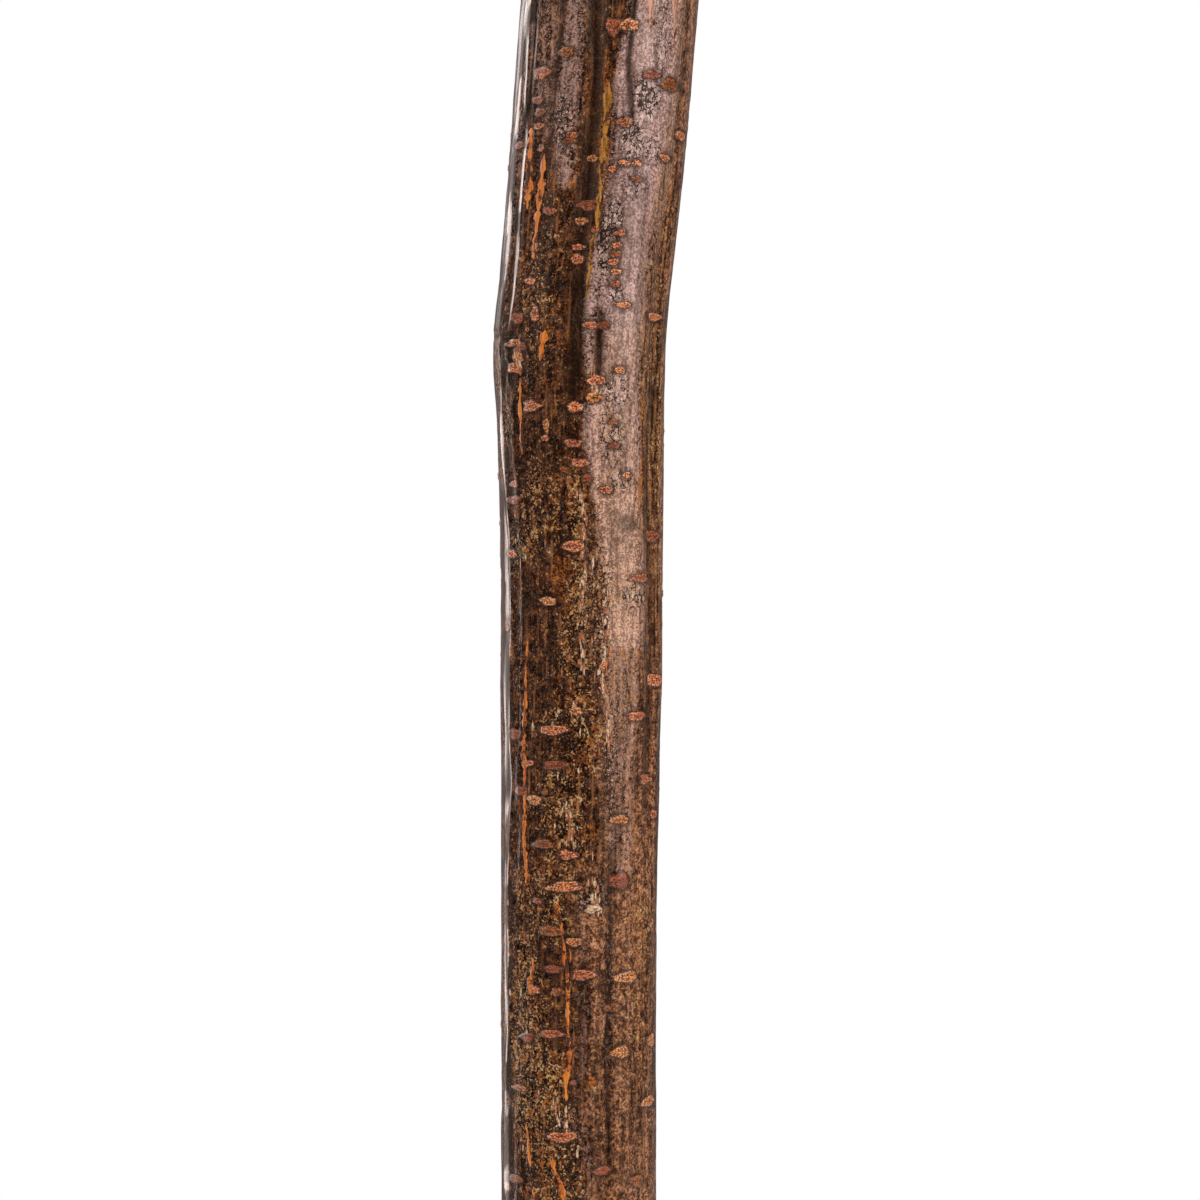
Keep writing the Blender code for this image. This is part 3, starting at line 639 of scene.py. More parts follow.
# Splits in the bark that show the young bark under it: tone, then (column, row, width) in pixels.
SPLITS = (
    (SplitTone.ORANGE, ((531, 128, 3), (530, 145, 3.5), (529.5, 160, 4), (528, 191, 6), (527, 209, 2))),
    (SplitTone.ORANGE, ((544.6, 154, 3), (543, 166, 5), (541.3, 182, 6.6), (538.8, 204, 6), (537, 219, 7),
        (535.5, 235.5, 5), (533, 249, 3.5), (533.5, 259, 2))),
    (SplitTone.ORANGE, ((545.5, 330.4, 6), (543, 343, 6), (540.5, 356, 5), (539.6, 361, 2))),
    (SplitTone.ORANGE, ((519.8, 378, 2), (519.8, 391, 4), (519.4, 407.5, 3), (520.6, 424, 3.5),
        (521.4, 441, 4), (521.4, 454, 2))),
    (SplitTone.ORANGE, ((527.2, 641, 2), (525.6, 666, 2), (525.6, 691, 2), (524.7, 716, 3.5), (524, 732, 4),
        (523, 755, 4), (524.7, 763, 4), (524.7, 790, 3), (524.7, 810, 3), (523.9, 833, 2.5),
        (524.7, 856, 4), (527, 873, 5), (527, 886, 3))),
    (SplitTone.ORANGE, ((557.9, 901, 2), (557.9, 914, 4), (561, 927, 4.5), (562.9, 939, 3), (564.5, 947, 3),
        (563.7, 955.6, 4), (565.4, 964, 4), (567.8, 970.5, 3), (567, 977, 4), (567.8, 992, 4),
        (567.8, 1010, 3), (567.5, 1030, 3.5), (569.5, 1048, 3.5), (569.5, 1063, 4), (566.2, 1076, 6),
        (565.4, 1086, 5), (566.2, 1101, 4))),
    (SplitTone.ORANGE, ((569.5, 949, 2), (570.8, 955.6, 2.5), (569.5, 964, 2.5))),
    (SplitTone.ORANGE, ((533, 959, 3), (533, 969, 4), (529.7, 979, 4), (530.5, 989, 5), (530.5, 995, 3))),
    (SplitTone.ORANGE, ((526.4, 1124, 2), (528, 1139, 3.5), (528.9, 1154, 4), (530.5, 1167, 3))),
    (SplitTone.ORANGE, ((553.7, 1151, 3), (553, 1167, 4), (558, 1177, 5), (562, 1192, 6), (562, 1199, 6),
        (562, 1215, 2))),
    (SplitTone.ORANGE, ((533, 1189, 2), (534.7, 1199, 3), (535, 1215, 2))),
    (SplitTone.OCHRE, ((609.3, 83, 3), (607.6, 99.5, 8), (606, 116, 9), (605, 133, 4), (604.3, 149, 6),
        (601.8, 166, 6), (599.4, 179, 3), (600.2, 191, 6), (597.7, 202, 5), (596.9, 232, 2),
        (592.7, 240.5, 4), (591, 260, 3), (588.6, 275, 4), (587.7, 288, 5), (586, 298, 2))),
    (SplitTone.PEACH, ((650.8, -40, 3), (650.8, 0, 8), (650.8, 17, 8), (651.6, 30, 5))),
    (SplitTone.PEACH, ((674, -20, 2), (674, 10, 4), (674.8, 33, 3), (671.5, 55, 3))),
    (SplitTone.PEACH, ((607.6, 596, 1.5), (606, 606, 2.2), (611, 616, 1.5))),
    (SplitTone.ORANGE, ((611, 646, 1.5), (606, 666, 2.4), (607.6, 676, 1.2))),
    (SplitTone.PEACH, ((607.6, 696, 1.5), (609.3, 716, 2), (611, 732, 1.6), (607.6, 740, 1.2))),
    (SplitTone.PEACH, ((599, 687, 1.2), (602.7, 692, 1.8), (603, 697, 1))),
)


class Value:
    """A shader socket that can be worked with like a number."""

    def __init__(self, shader: "Shader", socket: bpy.types.NodeSocket) -> None:
        """Wrap a socket of one of the shader's nodes."""
        self.shader = shader
        self.socket = socket

    def maths(self, operation: str, first: Any, second: Any = 0.0) -> "Value":
        """Work out one sum with a Math node.

        Args:
            operation: The Math node's operation.
            first: The first number or value.
            second: The second number or value.

        Returns:
            The result.
        """
        return self.shader.node("ShaderNodeMath", {"operation": operation}, {0: first, 1: second})

    def __add__(self, other: Any) -> "Value":
        """Add."""
        return self.maths("ADD", self, other)

    def __radd__(self, other: Any) -> "Value":
        """Add to a number."""
        return self.maths("ADD", other, self)

    def __sub__(self, other: Any) -> "Value":
        """Subtract."""
        return self.maths("SUBTRACT", self, other)

    def __rsub__(self, other: Any) -> "Value":
        """Subtract from a number."""
        return self.maths("SUBTRACT", other, self)

    def __mul__(self, other: Any) -> "Value":
        """Multiply."""
        return self.maths("MULTIPLY", self, other)

    def __rmul__(self, other: Any) -> "Value":
        """Multiply a number."""
        return self.maths("MULTIPLY", other, self)

    def __abs__(self) -> "Value":
        """Drop the sign."""
        return self.maths("ABSOLUTE", self)

    def waved(self) -> "Value":
        """Take the sine."""
        return self.maths("SINE", self)

    def stepped(self, low: float, high: float) -> "Value":
        """Run smoothly from 0 at low to 1 at high."""
        limits = {"Value": self, "From Min": low, "From Max": high}
        return self.shader.node("ShaderNodeMapRange", {"interpolation_type": "SMOOTHSTEP"}, limits)

    def also(self, name: str) -> "Value":
        """Take another output of the node that this value comes from."""
        return Value(self.shader, self.socket.node.outputs[name])


class Shader:
    """A node tree in the making."""

    def __init__(self, tree: bpy.types.NodeTree) -> None:
        """Start on an empty tree."""
        self.tree = tree
        tree.nodes.clear()

    def node(
        self, kind: str, settings: dict[str, Any], sockets: dict[Any, Any], output: Any = 0
    ) -> Value | None:
        """Add one node.

        Args:
            kind: The node's type.
            settings: Its settings, set first. "stops" are the (place, colour) stops of a colour ramp.
            sockets: The number, colour, vector or value of each socket, by name or index.
            output: The output that is wanted, by name or index.

        Returns:
            That output, or nothing for a node that has none.
        """
        made = self.tree.nodes.new(kind)
        for name, setting in settings.items():
            if name == "stops":
                self.set_stops(made.color_ramp, setting)
            else:
                setattr(made, name, setting)
        for name, content in sockets.items():
            if isinstance(content, Value):
                self.tree.links.new(content.socket, made.inputs[name])
            else:
                made.inputs[name].default_value = content
        return Value(self, made.outputs[output]) if made.outputs else None

    @staticmethod
    def set_stops(ramp: bpy.types.ColorRamp, stops: Sequence[tuple[float, Any]]) -> None:
        """Give a colour ramp its stops.

        Args:
            ramp: The colour ramp.
            stops: The place and the colour of each stop.
        """
        while len(ramp.elements) < len(stops):
            ramp.elements.new(1.0)
        for element, (place, colour) in zip(ramp.elements, stops):
            element.position = place
            element.color = colour

    def mixed(self, below: Any, above: Any, share: Any) -> Value:
        """Lay one colour over another.

        Args:
            below: The colour that shows where share is 0.
            above: The colour that shows where share is 1.
            share: How much of the upper colour shows.

        Returns:
            The mixed colour.
        """
        return self.node("ShaderNodeMix", {"data_type": "RGBA"}, {0: share, 6: below, 7: above}, 2)

    def toned(self, colour: Value, low: Sequence[float], high: Sequence[float], share: Value) -> Value:
        """Multiply a colour by the low factors where share is 0, and by the high ones where it is 1."""
        return self.mixed(self.times(colour, low), self.times(colour, high), share)

    def ramp(self, value: Value, stops: Sequence[tuple[float, Any]]) -> Value:
        """Turn a value into a colour with a colour ramp."""
        return self.node("ShaderNodeValToRGB", {"stops": stops}, {"Fac": value})

    def times(self, vector: Value, factors: Sequence[float]) -> Value:
        """Multiply a place or a colour by three numbers."""
        return self.node("ShaderNodeVectorMath", {"operation": "MULTIPLY"}, {0: vector, 1: factors})

    def pushed(self, place: Value, by: Value, far: float) -> Value:
        """Push a place about by a colour.

        Args:
            place: The place.
            by: The colour that pushes it.
            far: How far it goes each way.

        Returns:
            The pushed place.
        """
        middle = self.node("ShaderNodeVectorMath", {"operation": "SUBTRACT"}, {0: by, 1: (0.5, 0.5, 0.5)})
        shift = self.node("ShaderNodeVectorMath", {"operation": "SCALE"}, {0: middle, "Scale": 2.0 * far})
        return self.node("ShaderNodeVectorMath", {"operation": "ADD"}, {0: place, 1: shift})

    def noise(self, place: Value, size: float, detail: float = 2.0, rough: float = 0.5) -> Value:
        """Make soft unevenness.

        Args:
            place: Where it is read.
            size: The size of its cells.
            detail: How many finer layers it has.
            rough: How strong they are.

        Returns:
            Values round 0.5.
        """
        sockets = {"Vector": place, "Scale": 1.0 / size, "Detail": detail, "Roughness": rough}
        return self.node("ShaderNodeTexNoise", {}, sockets)

    def cells(self, place: Value, size: float) -> Value:
        """Make cells of this size, with the distance from their middles."""
        return self.node("ShaderNodeTexVoronoi", {"feature": "F1"}, {"Vector": place, "Scale": 1.0 / size})

    def attribute(self, name: str, output: str = "Fac") -> Value:
        """Read what the mesh carries under a name."""
        return self.node("ShaderNodeAttribute", {"attribute_name": name}, {}, output)

    def place(self) -> Value:
        """Read the place on the object."""
        return self.node("ShaderNodeTexCoord", {}, {}, "Object")

    def raised(self) -> tuple[Value, Value, Value]:
        """Read what a raised piece of bark carries: its place, the way in from its edge, and its tone."""
        return self.attribute("straight", "Vector"), self.attribute("rise"), self.attribute("tone")

    def channels(self, colour: Value) -> tuple[Value, Value, Value, Value]:
        """Split a colour that the mesh carries into its red, green, blue and alpha."""
        red = self.node("ShaderNodeSeparateColor", {}, {0: colour})
        return red, red.also("Green"), red.also("Blue"), colour.also("Alpha")

    def apart(self, vector: Value) -> tuple[Value, Value, Value]:
        """Split a vector into its x, y and z."""
        first = self.node("ShaderNodeSeparateXYZ", {}, {0: vector})
        return first, first.also("Y"), first.also("Z")

    def bumped(self, height: Value, depth: float, strength: float = 1.0) -> Value:
        """Turn heights from 0 to 1 into relief of this depth."""
        sockets = {"Height": height, "Distance": depth, "Strength": strength}
        return self.node("ShaderNodeBump", {}, sockets)


@dataclass(frozen=True)
class Finish:
    """What a surface is made of."""

    name: str

    def sockets(self, shader: Shader) -> dict[str, Any]:
        """Work out what each socket of the Principled shader gets.

        Args:
            shader: The node tree that the finish is made in.

        Returns:
            The numbers, colours and values by the sockets' names.
        """
        raise NotImplementedError

    def material(self) -> Material:
        """Make the material.

        Returns:
            The material.
        """
        material = bpy.data.materials.new(self.name)
        material.use_nodes = True
        shader = Shader(material.node_tree)
        surface = shader.node("ShaderNodeBsdfPrincipled", {}, self.sockets(shader))
        shader.node("ShaderNodeOutputMaterial", {}, {"Surface": surface})
        return material


@dataclass(frozen=True)
class BarkFinish(Finish):
    """Varnished bark: dark brown, with golden flecks, paler brown strips and a dusky mauve layer, partly its
    own colour and partly a painted sheen.
    """

    name: str = "varnished_bark"
    grain_size: float = 0.48 * MM
    speck_size: float = 0.35 * MM
    tuft_size: float = 1.30 * MM
    wrinkle_size: float = 0.90 * MM
    streak_size: float = 0.70 * MM
    flute_size: float = 2.40 * MM
    cloud_size: float = 4.0 * MM
    fleck_tone_size: float = 0.85 * MM
    relief: float = 0.20 * MM

    def sockets(self, shader: Shader) -> dict[str, Any]:
        """Lay the bark's colours over each other, from the darkest up.

        Args:
            shader: The node tree that the finish is made in.

        Returns:
            The numbers, colours and values by the sockets' names.
        """
        place = shader.attribute("straight", "Vector")
        mauve, brown, amber, gold = shader.channels(shader.attribute("zone", "Color"))
        fibre, shade_and_dark, rough, polish = shader.channels(shader.attribute("touch", "Color"))
        grain = shader.noise(shader.times(place, (1.0, 1.0, 0.85)), self.grain_size, 2.0, 0.6)
        speck = shader.noise(place, self.speck_size, 1.0, 0.6)
        streak = shader.noise(shader.times(place, (1.0, 1.0, 0.08)), self.streak_size, 2.0, 0.6)
        tuft = shader.noise(place, self.tuft_size, 3.0, 0.6)
        cloud = shader.noise(place, self.cloud_size, 2.0, 0.5)
        wrinkle = shader.noise(shader.times(place, (1.0, 1.0, 0.55)), self.wrinkle_size, 3.0, 0.65)
        flute = shader.noise(shader.times(place, (1.0, 1.0, 0.07)), self.flute_size, 2.0, 0.6)
        # The ground: dark bark, warmer bark and the mauve film, which is partly a painted sheen of the
        # varnish.
        mottle = tuft * 0.6 + streak * 0.4
        dark = shader.mixed(srgb(42, 21, 9), srgb(88, 53, 29), mottle.stepped(0.42, 0.62))
        dark = shader.mixed(dark, srgb(122, 66, 26), (cloud * 0.5 + streak * 0.5).stepped(0.54, 0.62) * 0.5)
        warm = shader.mixed(srgb(82, 51, 31), srgb(144, 102, 73), mottle.stepped(0.38, 0.62))
        film_and_sheen = shader.mixed(srgb(160, 136, 132), srgb(172, 139, 118), brown)
        # Painted shade and highlight: the mauve layer is lighter where its band is full, darker towards its
        # edges and in the weaker bands.
        film_and_sheen = shader.toned(film_and_sheen, (0.70, 0.65, 0.62), (1.05, 1.05, 1.05), mauve.stepped(0.42, 0.98))
        grained = (streak - 0.5) * 1.6 * brown + 0.5
        film_and_sheen = shader.toned(film_and_sheen, (0.70, 0.66, 0.62), (1.30, 1.34, 1.38), grained)
        # A painted sheen on the mauve layer, lighter and darker in long soft patches.
        sheen = (streak * 0.25 + wrinkle * 0.35 + flute * 0.4).stepped(0.40, 0.58)
        film_and_sheen = shader.toned(film_and_sheen, (0.48, 0.43, 0.40), (1.32, 1.33, 1.34), sheen)
        # Painted shade and highlight of soft flutes: the warmer bark is lighter and darker in long vertical
        # runs.
        warm = shader.toned(warm, (0.60, 0.58, 0.57), (1.30, 1.30, 1.32), flute.stepped(0.40, 0.60))
        browned = (brown + (cloud - 0.5) * 0.8 + (grain - 0.5) * 0.5).stepped(0.25, 0.75)
        colour = shader.mixed(dark, warm, browned)
        edge = mauve + (streak - 0.5) * 0.5 + (cloud - 0.5) * 0.5 + (grain - 0.5) * 1.2
        colour = shader.mixed(colour, film_and_sheen, edge.stepped(0.25, 0.80))
        ambered = (amber * (0.3 + grain * 1.2)).stepped(0.25, 0.75) * 0.8
        colour = shader.mixed(colour, srgb(150, 88, 32), ambered)
        # The grain, which darkens and lightens every colour, and pale specks in it, which are a painted
        # sparkle of the varnish.
        fine = (grain * 0.4 + speck * 0.6 + (tuft - 0.5) * 0.2).stepped(0.45, 0.56)
        fine = fine * (1.0 - mauve * 0.42) + mauve * 0.20
        colour = shader.toned(colour, (0.24, 0.14, 0.08), (1.78, 1.74, 1.68), fine)
        thin_film = mauve.stepped(0.32, 0.45) * (1.0 - mauve.stepped(0.55, 0.9))
        painted_sparkle = (1.0 - speck + (0.5 - wrinkle) * 0.3).stepped(0.58, 0.63) * (thin_film * 0.6 + 0.14)
        colour = shader.mixed(colour, srgb(186, 156, 142), painted_sparkle)
        patchy = gold * 0.11 + (tuft - 0.5) * 0.35 - mauve * 0.035 - 0.025
        flecks = (speck * 0.6 + grain * 0.4 + patchy).stepped(0.59, 0.625)
        fleck_colour = shader.ramp(
            shader.noise(place, self.fleck_tone_size, 2.0, 0.6),
            (
                (0.34, srgb(158, 84, 34)),
                (0.44, srgb(150, 94, 40)),
                (0.52, srgb(188, 142, 84)),
                (0.64, srgb(214, 176, 130)),
            ),
        )
        colour = shader.mixed(colour, fleck_colour, flecks * 0.85)
        # Threads, cracks and hollows, with painted shade in the folds and hollows and painted glints beside
        # the folds.
        threads = (streak + fibre * 0.11 - 0.02).stepped(0.60, 0.69)
        colour = shader.mixed(colour, srgb(160, 112, 74), threads * (1.0 - mauve * 0.7) * 0.35)
        crack = (1.0 - streak + (fibre - 0.5) * 0.08).stepped(0.60, 0.68)
        colour = shader.mixed(colour, DEEP_BROWN, crack * (1.0 - mauve * 0.6) * 0.7)
        pits = (grain * 0.35 + speck * 0.35 + wrinkle * 0.3).stepped(0.56, 0.59)
        colour = shader.mixed(colour, RIM_BROWN, pits * (0.45 - mauve * 0.1 - brown * mauve * 0.25))
        bend = abs(tuft * 0.5 + wrinkle * 0.5 - 0.5)
        shaded_folds = (rough * 1.15 - bend.stepped(0.0, 0.045)).stepped(0.0, 0.35)
        colour = shader.mixed(colour, srgb(30, 15, 11), shaded_folds * 0.95)
        # Painted glints of the varnish beside the folds.
        painted_glints = (1.0 - speck).stepped(0.57, 0.62) * (rough - shaded_folds).stepped(0.3, 0.6)
        colour = shader.mixed(colour, srgb(226, 204, 194), painted_glints * (0.15 + mauve * 0.75))
        # Painted shade in the furrows, the crease, the low relief, round the pores and between the polished
        # highlight lines, with the darker patches of bark.
        colour = shader.mixed(colour, DEEP_BROWN, (shade_and_dark + (grain - 0.5) * 0.6).stepped(0.1, 1.0) * 0.85)
        height = grain * 0.45 + speck * 0.25 + streak * 0.15 + wrinkle * 0.35 + flecks * 0.15 - shaded_folds * 0.3
        return {
            "Base Color": colour,
            "Roughness": 0.20 + rough * 0.25 + (tuft - 0.5) * 0.2 + shade_and_dark * (0.1 + polish * 0.4),
            "Specular IOR Level": 0.22,
            "Specular Tint": (1.0, 0.72, 0.54, 1.0),
            "Coat Weight": (0.10 + mauve * 0.26 + polish * 0.8) * (1.0 - shade_and_dark * 0.9) * (1.0 - shaded_folds * 0.8),
            "Coat Roughness": 0.07,
            "Coat IOR": 1.5,
            "Normal": shader.bumped(height, self.relief),
        }


@dataclass(frozen=True)
class PoreFinish(Finish):
    """The corky pores: rusty orange crumbs, with a dark edge, a light rim that is a painted highlight, and
    light flecks.
    """

    name: str = "corky_pores"
    crumb_size: float = 0.30 * MM
    speck_size: float = 0.24 * MM
    relief: float = 0.22 * MM

    def sockets(self, shader: Shader) -> dict[str, Any]:
        """Colour a pore from its edge to its middle.

        Args:
            shader: The node tree that the finish is made in.

        Returns:
            The numbers, colours and values by the sockets' names.
        """
        place, rise, tone = shader.raised()
        cleft = shader.attribute("cleft")
        crumb = shader.noise(shader.times(place, (0.7, 0.7, 1.3)), self.crumb_size, 3.0, 0.7)
        speck = shader.noise(place, self.speck_size, 2.0, 0.6)
        grains = crumb.stepped(0.42, 0.58)
        rusty = shader.mixed(srgb(158, 68, 32), srgb(242, 134, 78), grains)
        golden = shader.mixed(srgb(148, 74, 24), srgb(236, 144, 56), grains)
        colour = shader.mixed(rusty, golden, tone.stepped(0.62, 0.80))
        # Each pore's own brightness, spread by a fast wave over its tone.
        bright = 0.52 + (tone * 37.0).waved() * 0.62
        colour = shader.mixed(shader.times(colour, (0.50, 0.44, 0.42)), colour, bright)
        # A painted highlight along the rim of each raised pore.
        rim = rise.stepped(0.03, 0.10) - rise.stepped(0.16, 0.34)
        colour = shader.mixed(colour, srgb(238, 184, 142), rim * crumb.stepped(0.46, 0.56) * bright)
        flecks = (speck + tone * 0.03).stepped(0.57, 0.64) * bright * 0.9
        colour = shader.mixed(colour, srgb(242, 172, 112), flecks)
        pits = (1.0 - speck + cleft * 0.12).stepped(0.51, 0.57) * 0.9
        colour = shader.mixed(colour, srgb(48, 20, 12), pits)
        colour = shader.mixed(RIM_BROWN, colour, (rise + (crumb - 0.5) * 0.3).stepped(0.0, 0.06))
        return {
            "Base Color": colour,
            "Roughness": 0.25 + crumb * 0.2,
            "Specular Tint": (1.0, 0.85, 0.75, 1.0),
            "Coat Weight": 0.3,
            "Coat Roughness": 0.08,
            "Normal": shader.bumped(crumb * 0.6 + speck * 0.4, self.relief),
        }


@dataclass(frozen=True)
class SplitFinish(Finish):
    """Young bark in the splits, in fine strands, with a young and an old colour for each split tone."""

    name: str = "young_bark"
    strand_size: float = 0.30 * MM
    break_size: float = 1.4 * MM
    relief: float = 0.10 * MM
    young: tuple[Colour, ...] = (srgb(222, 130, 46), srgb(180, 124, 40), srgb(202, 150, 124))
    old: tuple[Colour, ...] = (srgb(166, 82, 28), srgb(104, 64, 18), srgb(126, 88, 72))

    def sockets(self, shader: Shader) -> dict[str, Any]:
        """Colour a split along its strands.

        Args:
            shader: The node tree that the finish is made in.

        Returns:
            The numbers, colours and values by the sockets' names.
        """
        place, rise, tone = shader.raised()
        strand = shader.noise(shader.times(place, (1.0, 1.0, 0.12)), self.strand_size, 3.0, 0.6)
        crumb = shader.noise(place, self.strand_size, 2.0, 0.6)
        tones = [choice.value for choice in SplitTone]
        young = shader.ramp(tone, list(zip(tones, self.young)))
        old = shader.ramp(tone, list(zip(tones, self.old)))
        broken = shader.noise(shader.times(place, (1.0, 1.0, 0.5)), self.break_size, 2.0, 0.6)
        colour = shader.mixed(old, young, (strand * 0.5 + crumb * 0.2 + broken * 0.3).stepped(0.42, 0.56))
        colour = shader.mixed(srgb(70, 34, 14), colour, (broken * 0.7 + crumb * 0.3).stepped(0.40, 0.48))
        colour = shader.mixed(RIM_BROWN, colour, (rise + (crumb - 0.5) * 0.9).stepped(0.0, 0.30))
        return {
            "Base Color": colour,
            "Roughness": 0.35 + strand * 0.2,
            "Specular IOR Level": 0.3,
            "Coat Weight": 0.3,
            "Coat Roughness": 0.10,
            "Normal": shader.bumped(strand, self.relief),
        }


@dataclass(frozen=True)
class FlakeFinish(Finish):
    """Dry flakes of outer bark, cream to orange."""

    name: str = "dry_flakes"
    crumb_size: float = 0.30 * MM
    relief: float = 0.08 * MM

    def sockets(self, shader: Shader) -> dict[str, Any]:
        """Colour a flake by its tone, with a darker rim.

        Args:
            shader: The node tree that the finish is made in.

        Returns:
            The numbers, colours and values by the sockets' names.
        """
        place, rise, tone = shader.raised()
        crumb = shader.noise(place, self.crumb_size, 3.0, 0.6)
        pale = shader.mixed(srgb(178, 104, 54), srgb(220, 188, 150), tone.stepped(0.3, 0.8))
        colour = shader.mixed(pale, srgb(96, 60, 36), crumb.stepped(0.50, 0.58) * 0.85)
        colour = shader.mixed(srgb(70, 46, 30), colour, (rise + (crumb - 0.5) * 0.5).stepped(0.0, 0.25))
        return {
            "Base Color": colour,
            "Roughness": 0.5 + crumb * 0.2,
            "Coat Weight": 0.6,
            "Coat Roughness": 0.15,
            "Normal": shader.bumped(crumb, self.relief),
        }


@dataclass(frozen=True)
class BurrFinish(Finish):
    """Oiled and polished burr wood: swirling figure with small dark eyes."""

    name: str = "polished_burr"
    swirl_size: float = 13.0 * MM
    figure_size: float = 3.4 * MM
    eye_size: float = 6.5 * MM
    swirl_reach: float = 9.0 * MM
    pore_size: float = 0.45 * MM
    cloud_size: float = 11.0 * MM
    relief: float = 0.08 * MM

    def sockets(self, shader: Shader) -> dict[str, Any]:
        """Lay eyes and fine pores over the swirling figure.

        Args:
            shader: The node tree that the finish is made in.

        Returns:
            The numbers, colours and values by the sockets' names.
        """
        place = shader.place()
        swirl = shader.noise(place, self.swirl_size, 2.0, 0.55).also("Color")
        pushed = shader.pushed(place, swirl, self.swirl_reach)
        figure = shader.noise(shader.times(pushed, (1.0, 1.0, 0.45)), self.figure_size, 6.0, 0.62)
        fine = shader.noise(shader.times(pushed, (1.0, 1.0, 0.2)), self.pore_size, 3.0, 0.6)
        eye = shader.cells(pushed, self.eye_size)
        cloud = shader.noise(place, self.cloud_size, 2.0, 0.5)
        ringed = (eye * 34.0 + figure * 6.0).waved() * 0.5 + 0.5
        near_eye = 1.0 - eye.stepped(0.10, 0.55)
        bands = figure * 0.75 + fine * 0.25 + (cloud - 0.5) * 0.35 + (ringed - 0.5) * near_eye * 0.20
        wood = shader.ramp(
            bands,
            (
                (0.28, srgb(58, 27, 13)),
                (0.42, srgb(104, 55, 25)),
                (0.52, srgb(142, 84, 42)),
                (0.62, srgb(176, 116, 62)),
                (0.78, srgb(198, 146, 88)),
            ),
        )
        colour = shader.mixed(wood, srgb(42, 20, 11), (1.0 - eye.stepped(0.03, 0.13)) * 0.85)
        colour = shader.mixed(colour, srgb(60, 30, 15), fine.stepped(0.62, 0.74) * 0.6)
        return {
            "Base Color": colour,
            "Roughness": 0.32 + (fine - 0.5) * 0.2,
            "Coat Weight": 0.9 + (fine - 0.5) * 0.2,
            "Coat Roughness": 0.07,
            "Normal": shader.bumped(fine * 0.5 + figure * 0.5, self.relief, 0.6),
        }


@dataclass(frozen=True)
class BrassFinish(Finish):
    """Turned brass with fine tool lines, handling marks and a little tarnish."""

    name: str = "turned_brass"
    line_pitch: float = 0.22 * MM
    tarnish_size: float = 5.0 * MM
    mark_size: float = 1.6 * MM
    scuff_reach: float = 2.0 * MM
    scuff_size: float = 0.8 * MM
    relief: float = 0.03 * MM

    def sockets(self, shader: Shader) -> dict[str, Any]:
        """Tint and roughen the metal unevenly.

        Args:
            shader: The node tree that the finish is made in.

        Returns:
            The numbers, colours and values by the sockets' names.
        """
        place = shader.place()
        tarnish = shader.noise(place, self.tarnish_size, 4.0, 0.6)
        marks = shader.noise(shader.times(place, (1.0, 1.0, 9.0)), self.mark_size, 3.0, 0.6)
        lines = shader.noise(shader.times(place, (0.02, 0.02, 1.0)), self.line_pitch, 1.0, 0.5)
        pushed = shader.pushed(place, tarnish.also("Color"), self.scuff_reach)
        scuffs = shader.noise(pushed, self.scuff_size, 4.0, 0.7)
        colour = shader.mixed(srgb(222, 194, 134), srgb(182, 146, 86), tarnish.stepped(0.40, 0.70) * 0.8)
        dull = (tarnish * 0.5 + scuffs * 0.5).stepped(0.56, 0.74) * 0.5
        colour = shader.mixed(colour, srgb(132, 98, 58), dull)
        return {
            "Base Color": colour,
            "Metallic": 1.0,
            "Roughness": 0.29 + tarnish.stepped(0.4, 0.7) * 0.10 + marks * 0.08,
            "Normal": shader.bumped(lines * 0.7 + scuffs * 0.3, self.relief),
        }


@dataclass(frozen=True)
class HornFinish(Finish):
    """Polished black horn with faint brown streaks."""

    name: str = "polished_horn"
    swirl_size: float = 9.0 * MM
    swirl_reach: float = 3.0 * MM
    streak_size: float = 1.3 * MM
    grain_size: float = 0.4 * MM
    relief: float = 0.03 * MM

    def sockets(self, shader: Shader) -> dict[str, Any]:
        """Streak the horn along its growth.

        Args:
            shader: The node tree that the finish is made in.

        Returns:
            The numbers, colours and values by the sockets' names.
        """
        place = shader.place()
        swirl = shader.noise(place, self.swirl_size, 2.0, 0.5).also("Color")
        layered = shader.times(shader.pushed(place, swirl, self.swirl_reach), (0.25, 1.0, 1.4))
        streak = shader.noise(layered, self.streak_size, 4.0, 0.6)
        fine = shader.noise(place, self.grain_size, 2.0, 0.5)
        colour = shader.mixed(srgb(18, 16, 15), srgb(66, 50, 38), streak.stepped(0.52, 0.72) * 0.8)
        return {
            "Base Color": colour,
            "Roughness": 0.24 + streak * 0.15 + (fine - 0.5) * 0.06,
            "Coat Weight": 0.6,
            "Coat Roughness": 0.08,
            "Normal": shader.bumped(streak * 0.7 + fine * 0.3, self.relief),
        }


@dataclass(frozen=True)
class SteelFinish(Finish):
    """Turned steel with tool lines and a bloom of wear."""

    name: str = "turned_steel"
    bloom_size: float = 3.0 * MM
    line_pitch: float = 0.18 * MM
    relief: float = 0.02 * MM

    def sockets(self, shader: Shader) -> dict[str, Any]:
        """Roughen the steel with fine turning lines.

        Args:
            shader: The node tree that the finish is made in.

        Returns:
            The numbers, colours and values by the sockets' names.
        """
        place = shader.place()
        bloom = shader.noise(place, self.bloom_size, 3.0, 0.6)
        lines = shader.noise(shader.times(place, (0.05, 0.05, 1.0)), self.line_pitch, 2.0, 0.5)
        colour = shader.mixed(srgb(198, 199, 202), srgb(142, 140, 138), bloom.stepped(0.42, 0.68))
        return {
            "Base Color": colour,
            "Metallic": 1.0,
            "Roughness": 0.24 + bloom * 0.2 + (lines - 0.5) * 0.15,
            "Normal": shader.bumped(lines, self.relief),
        }


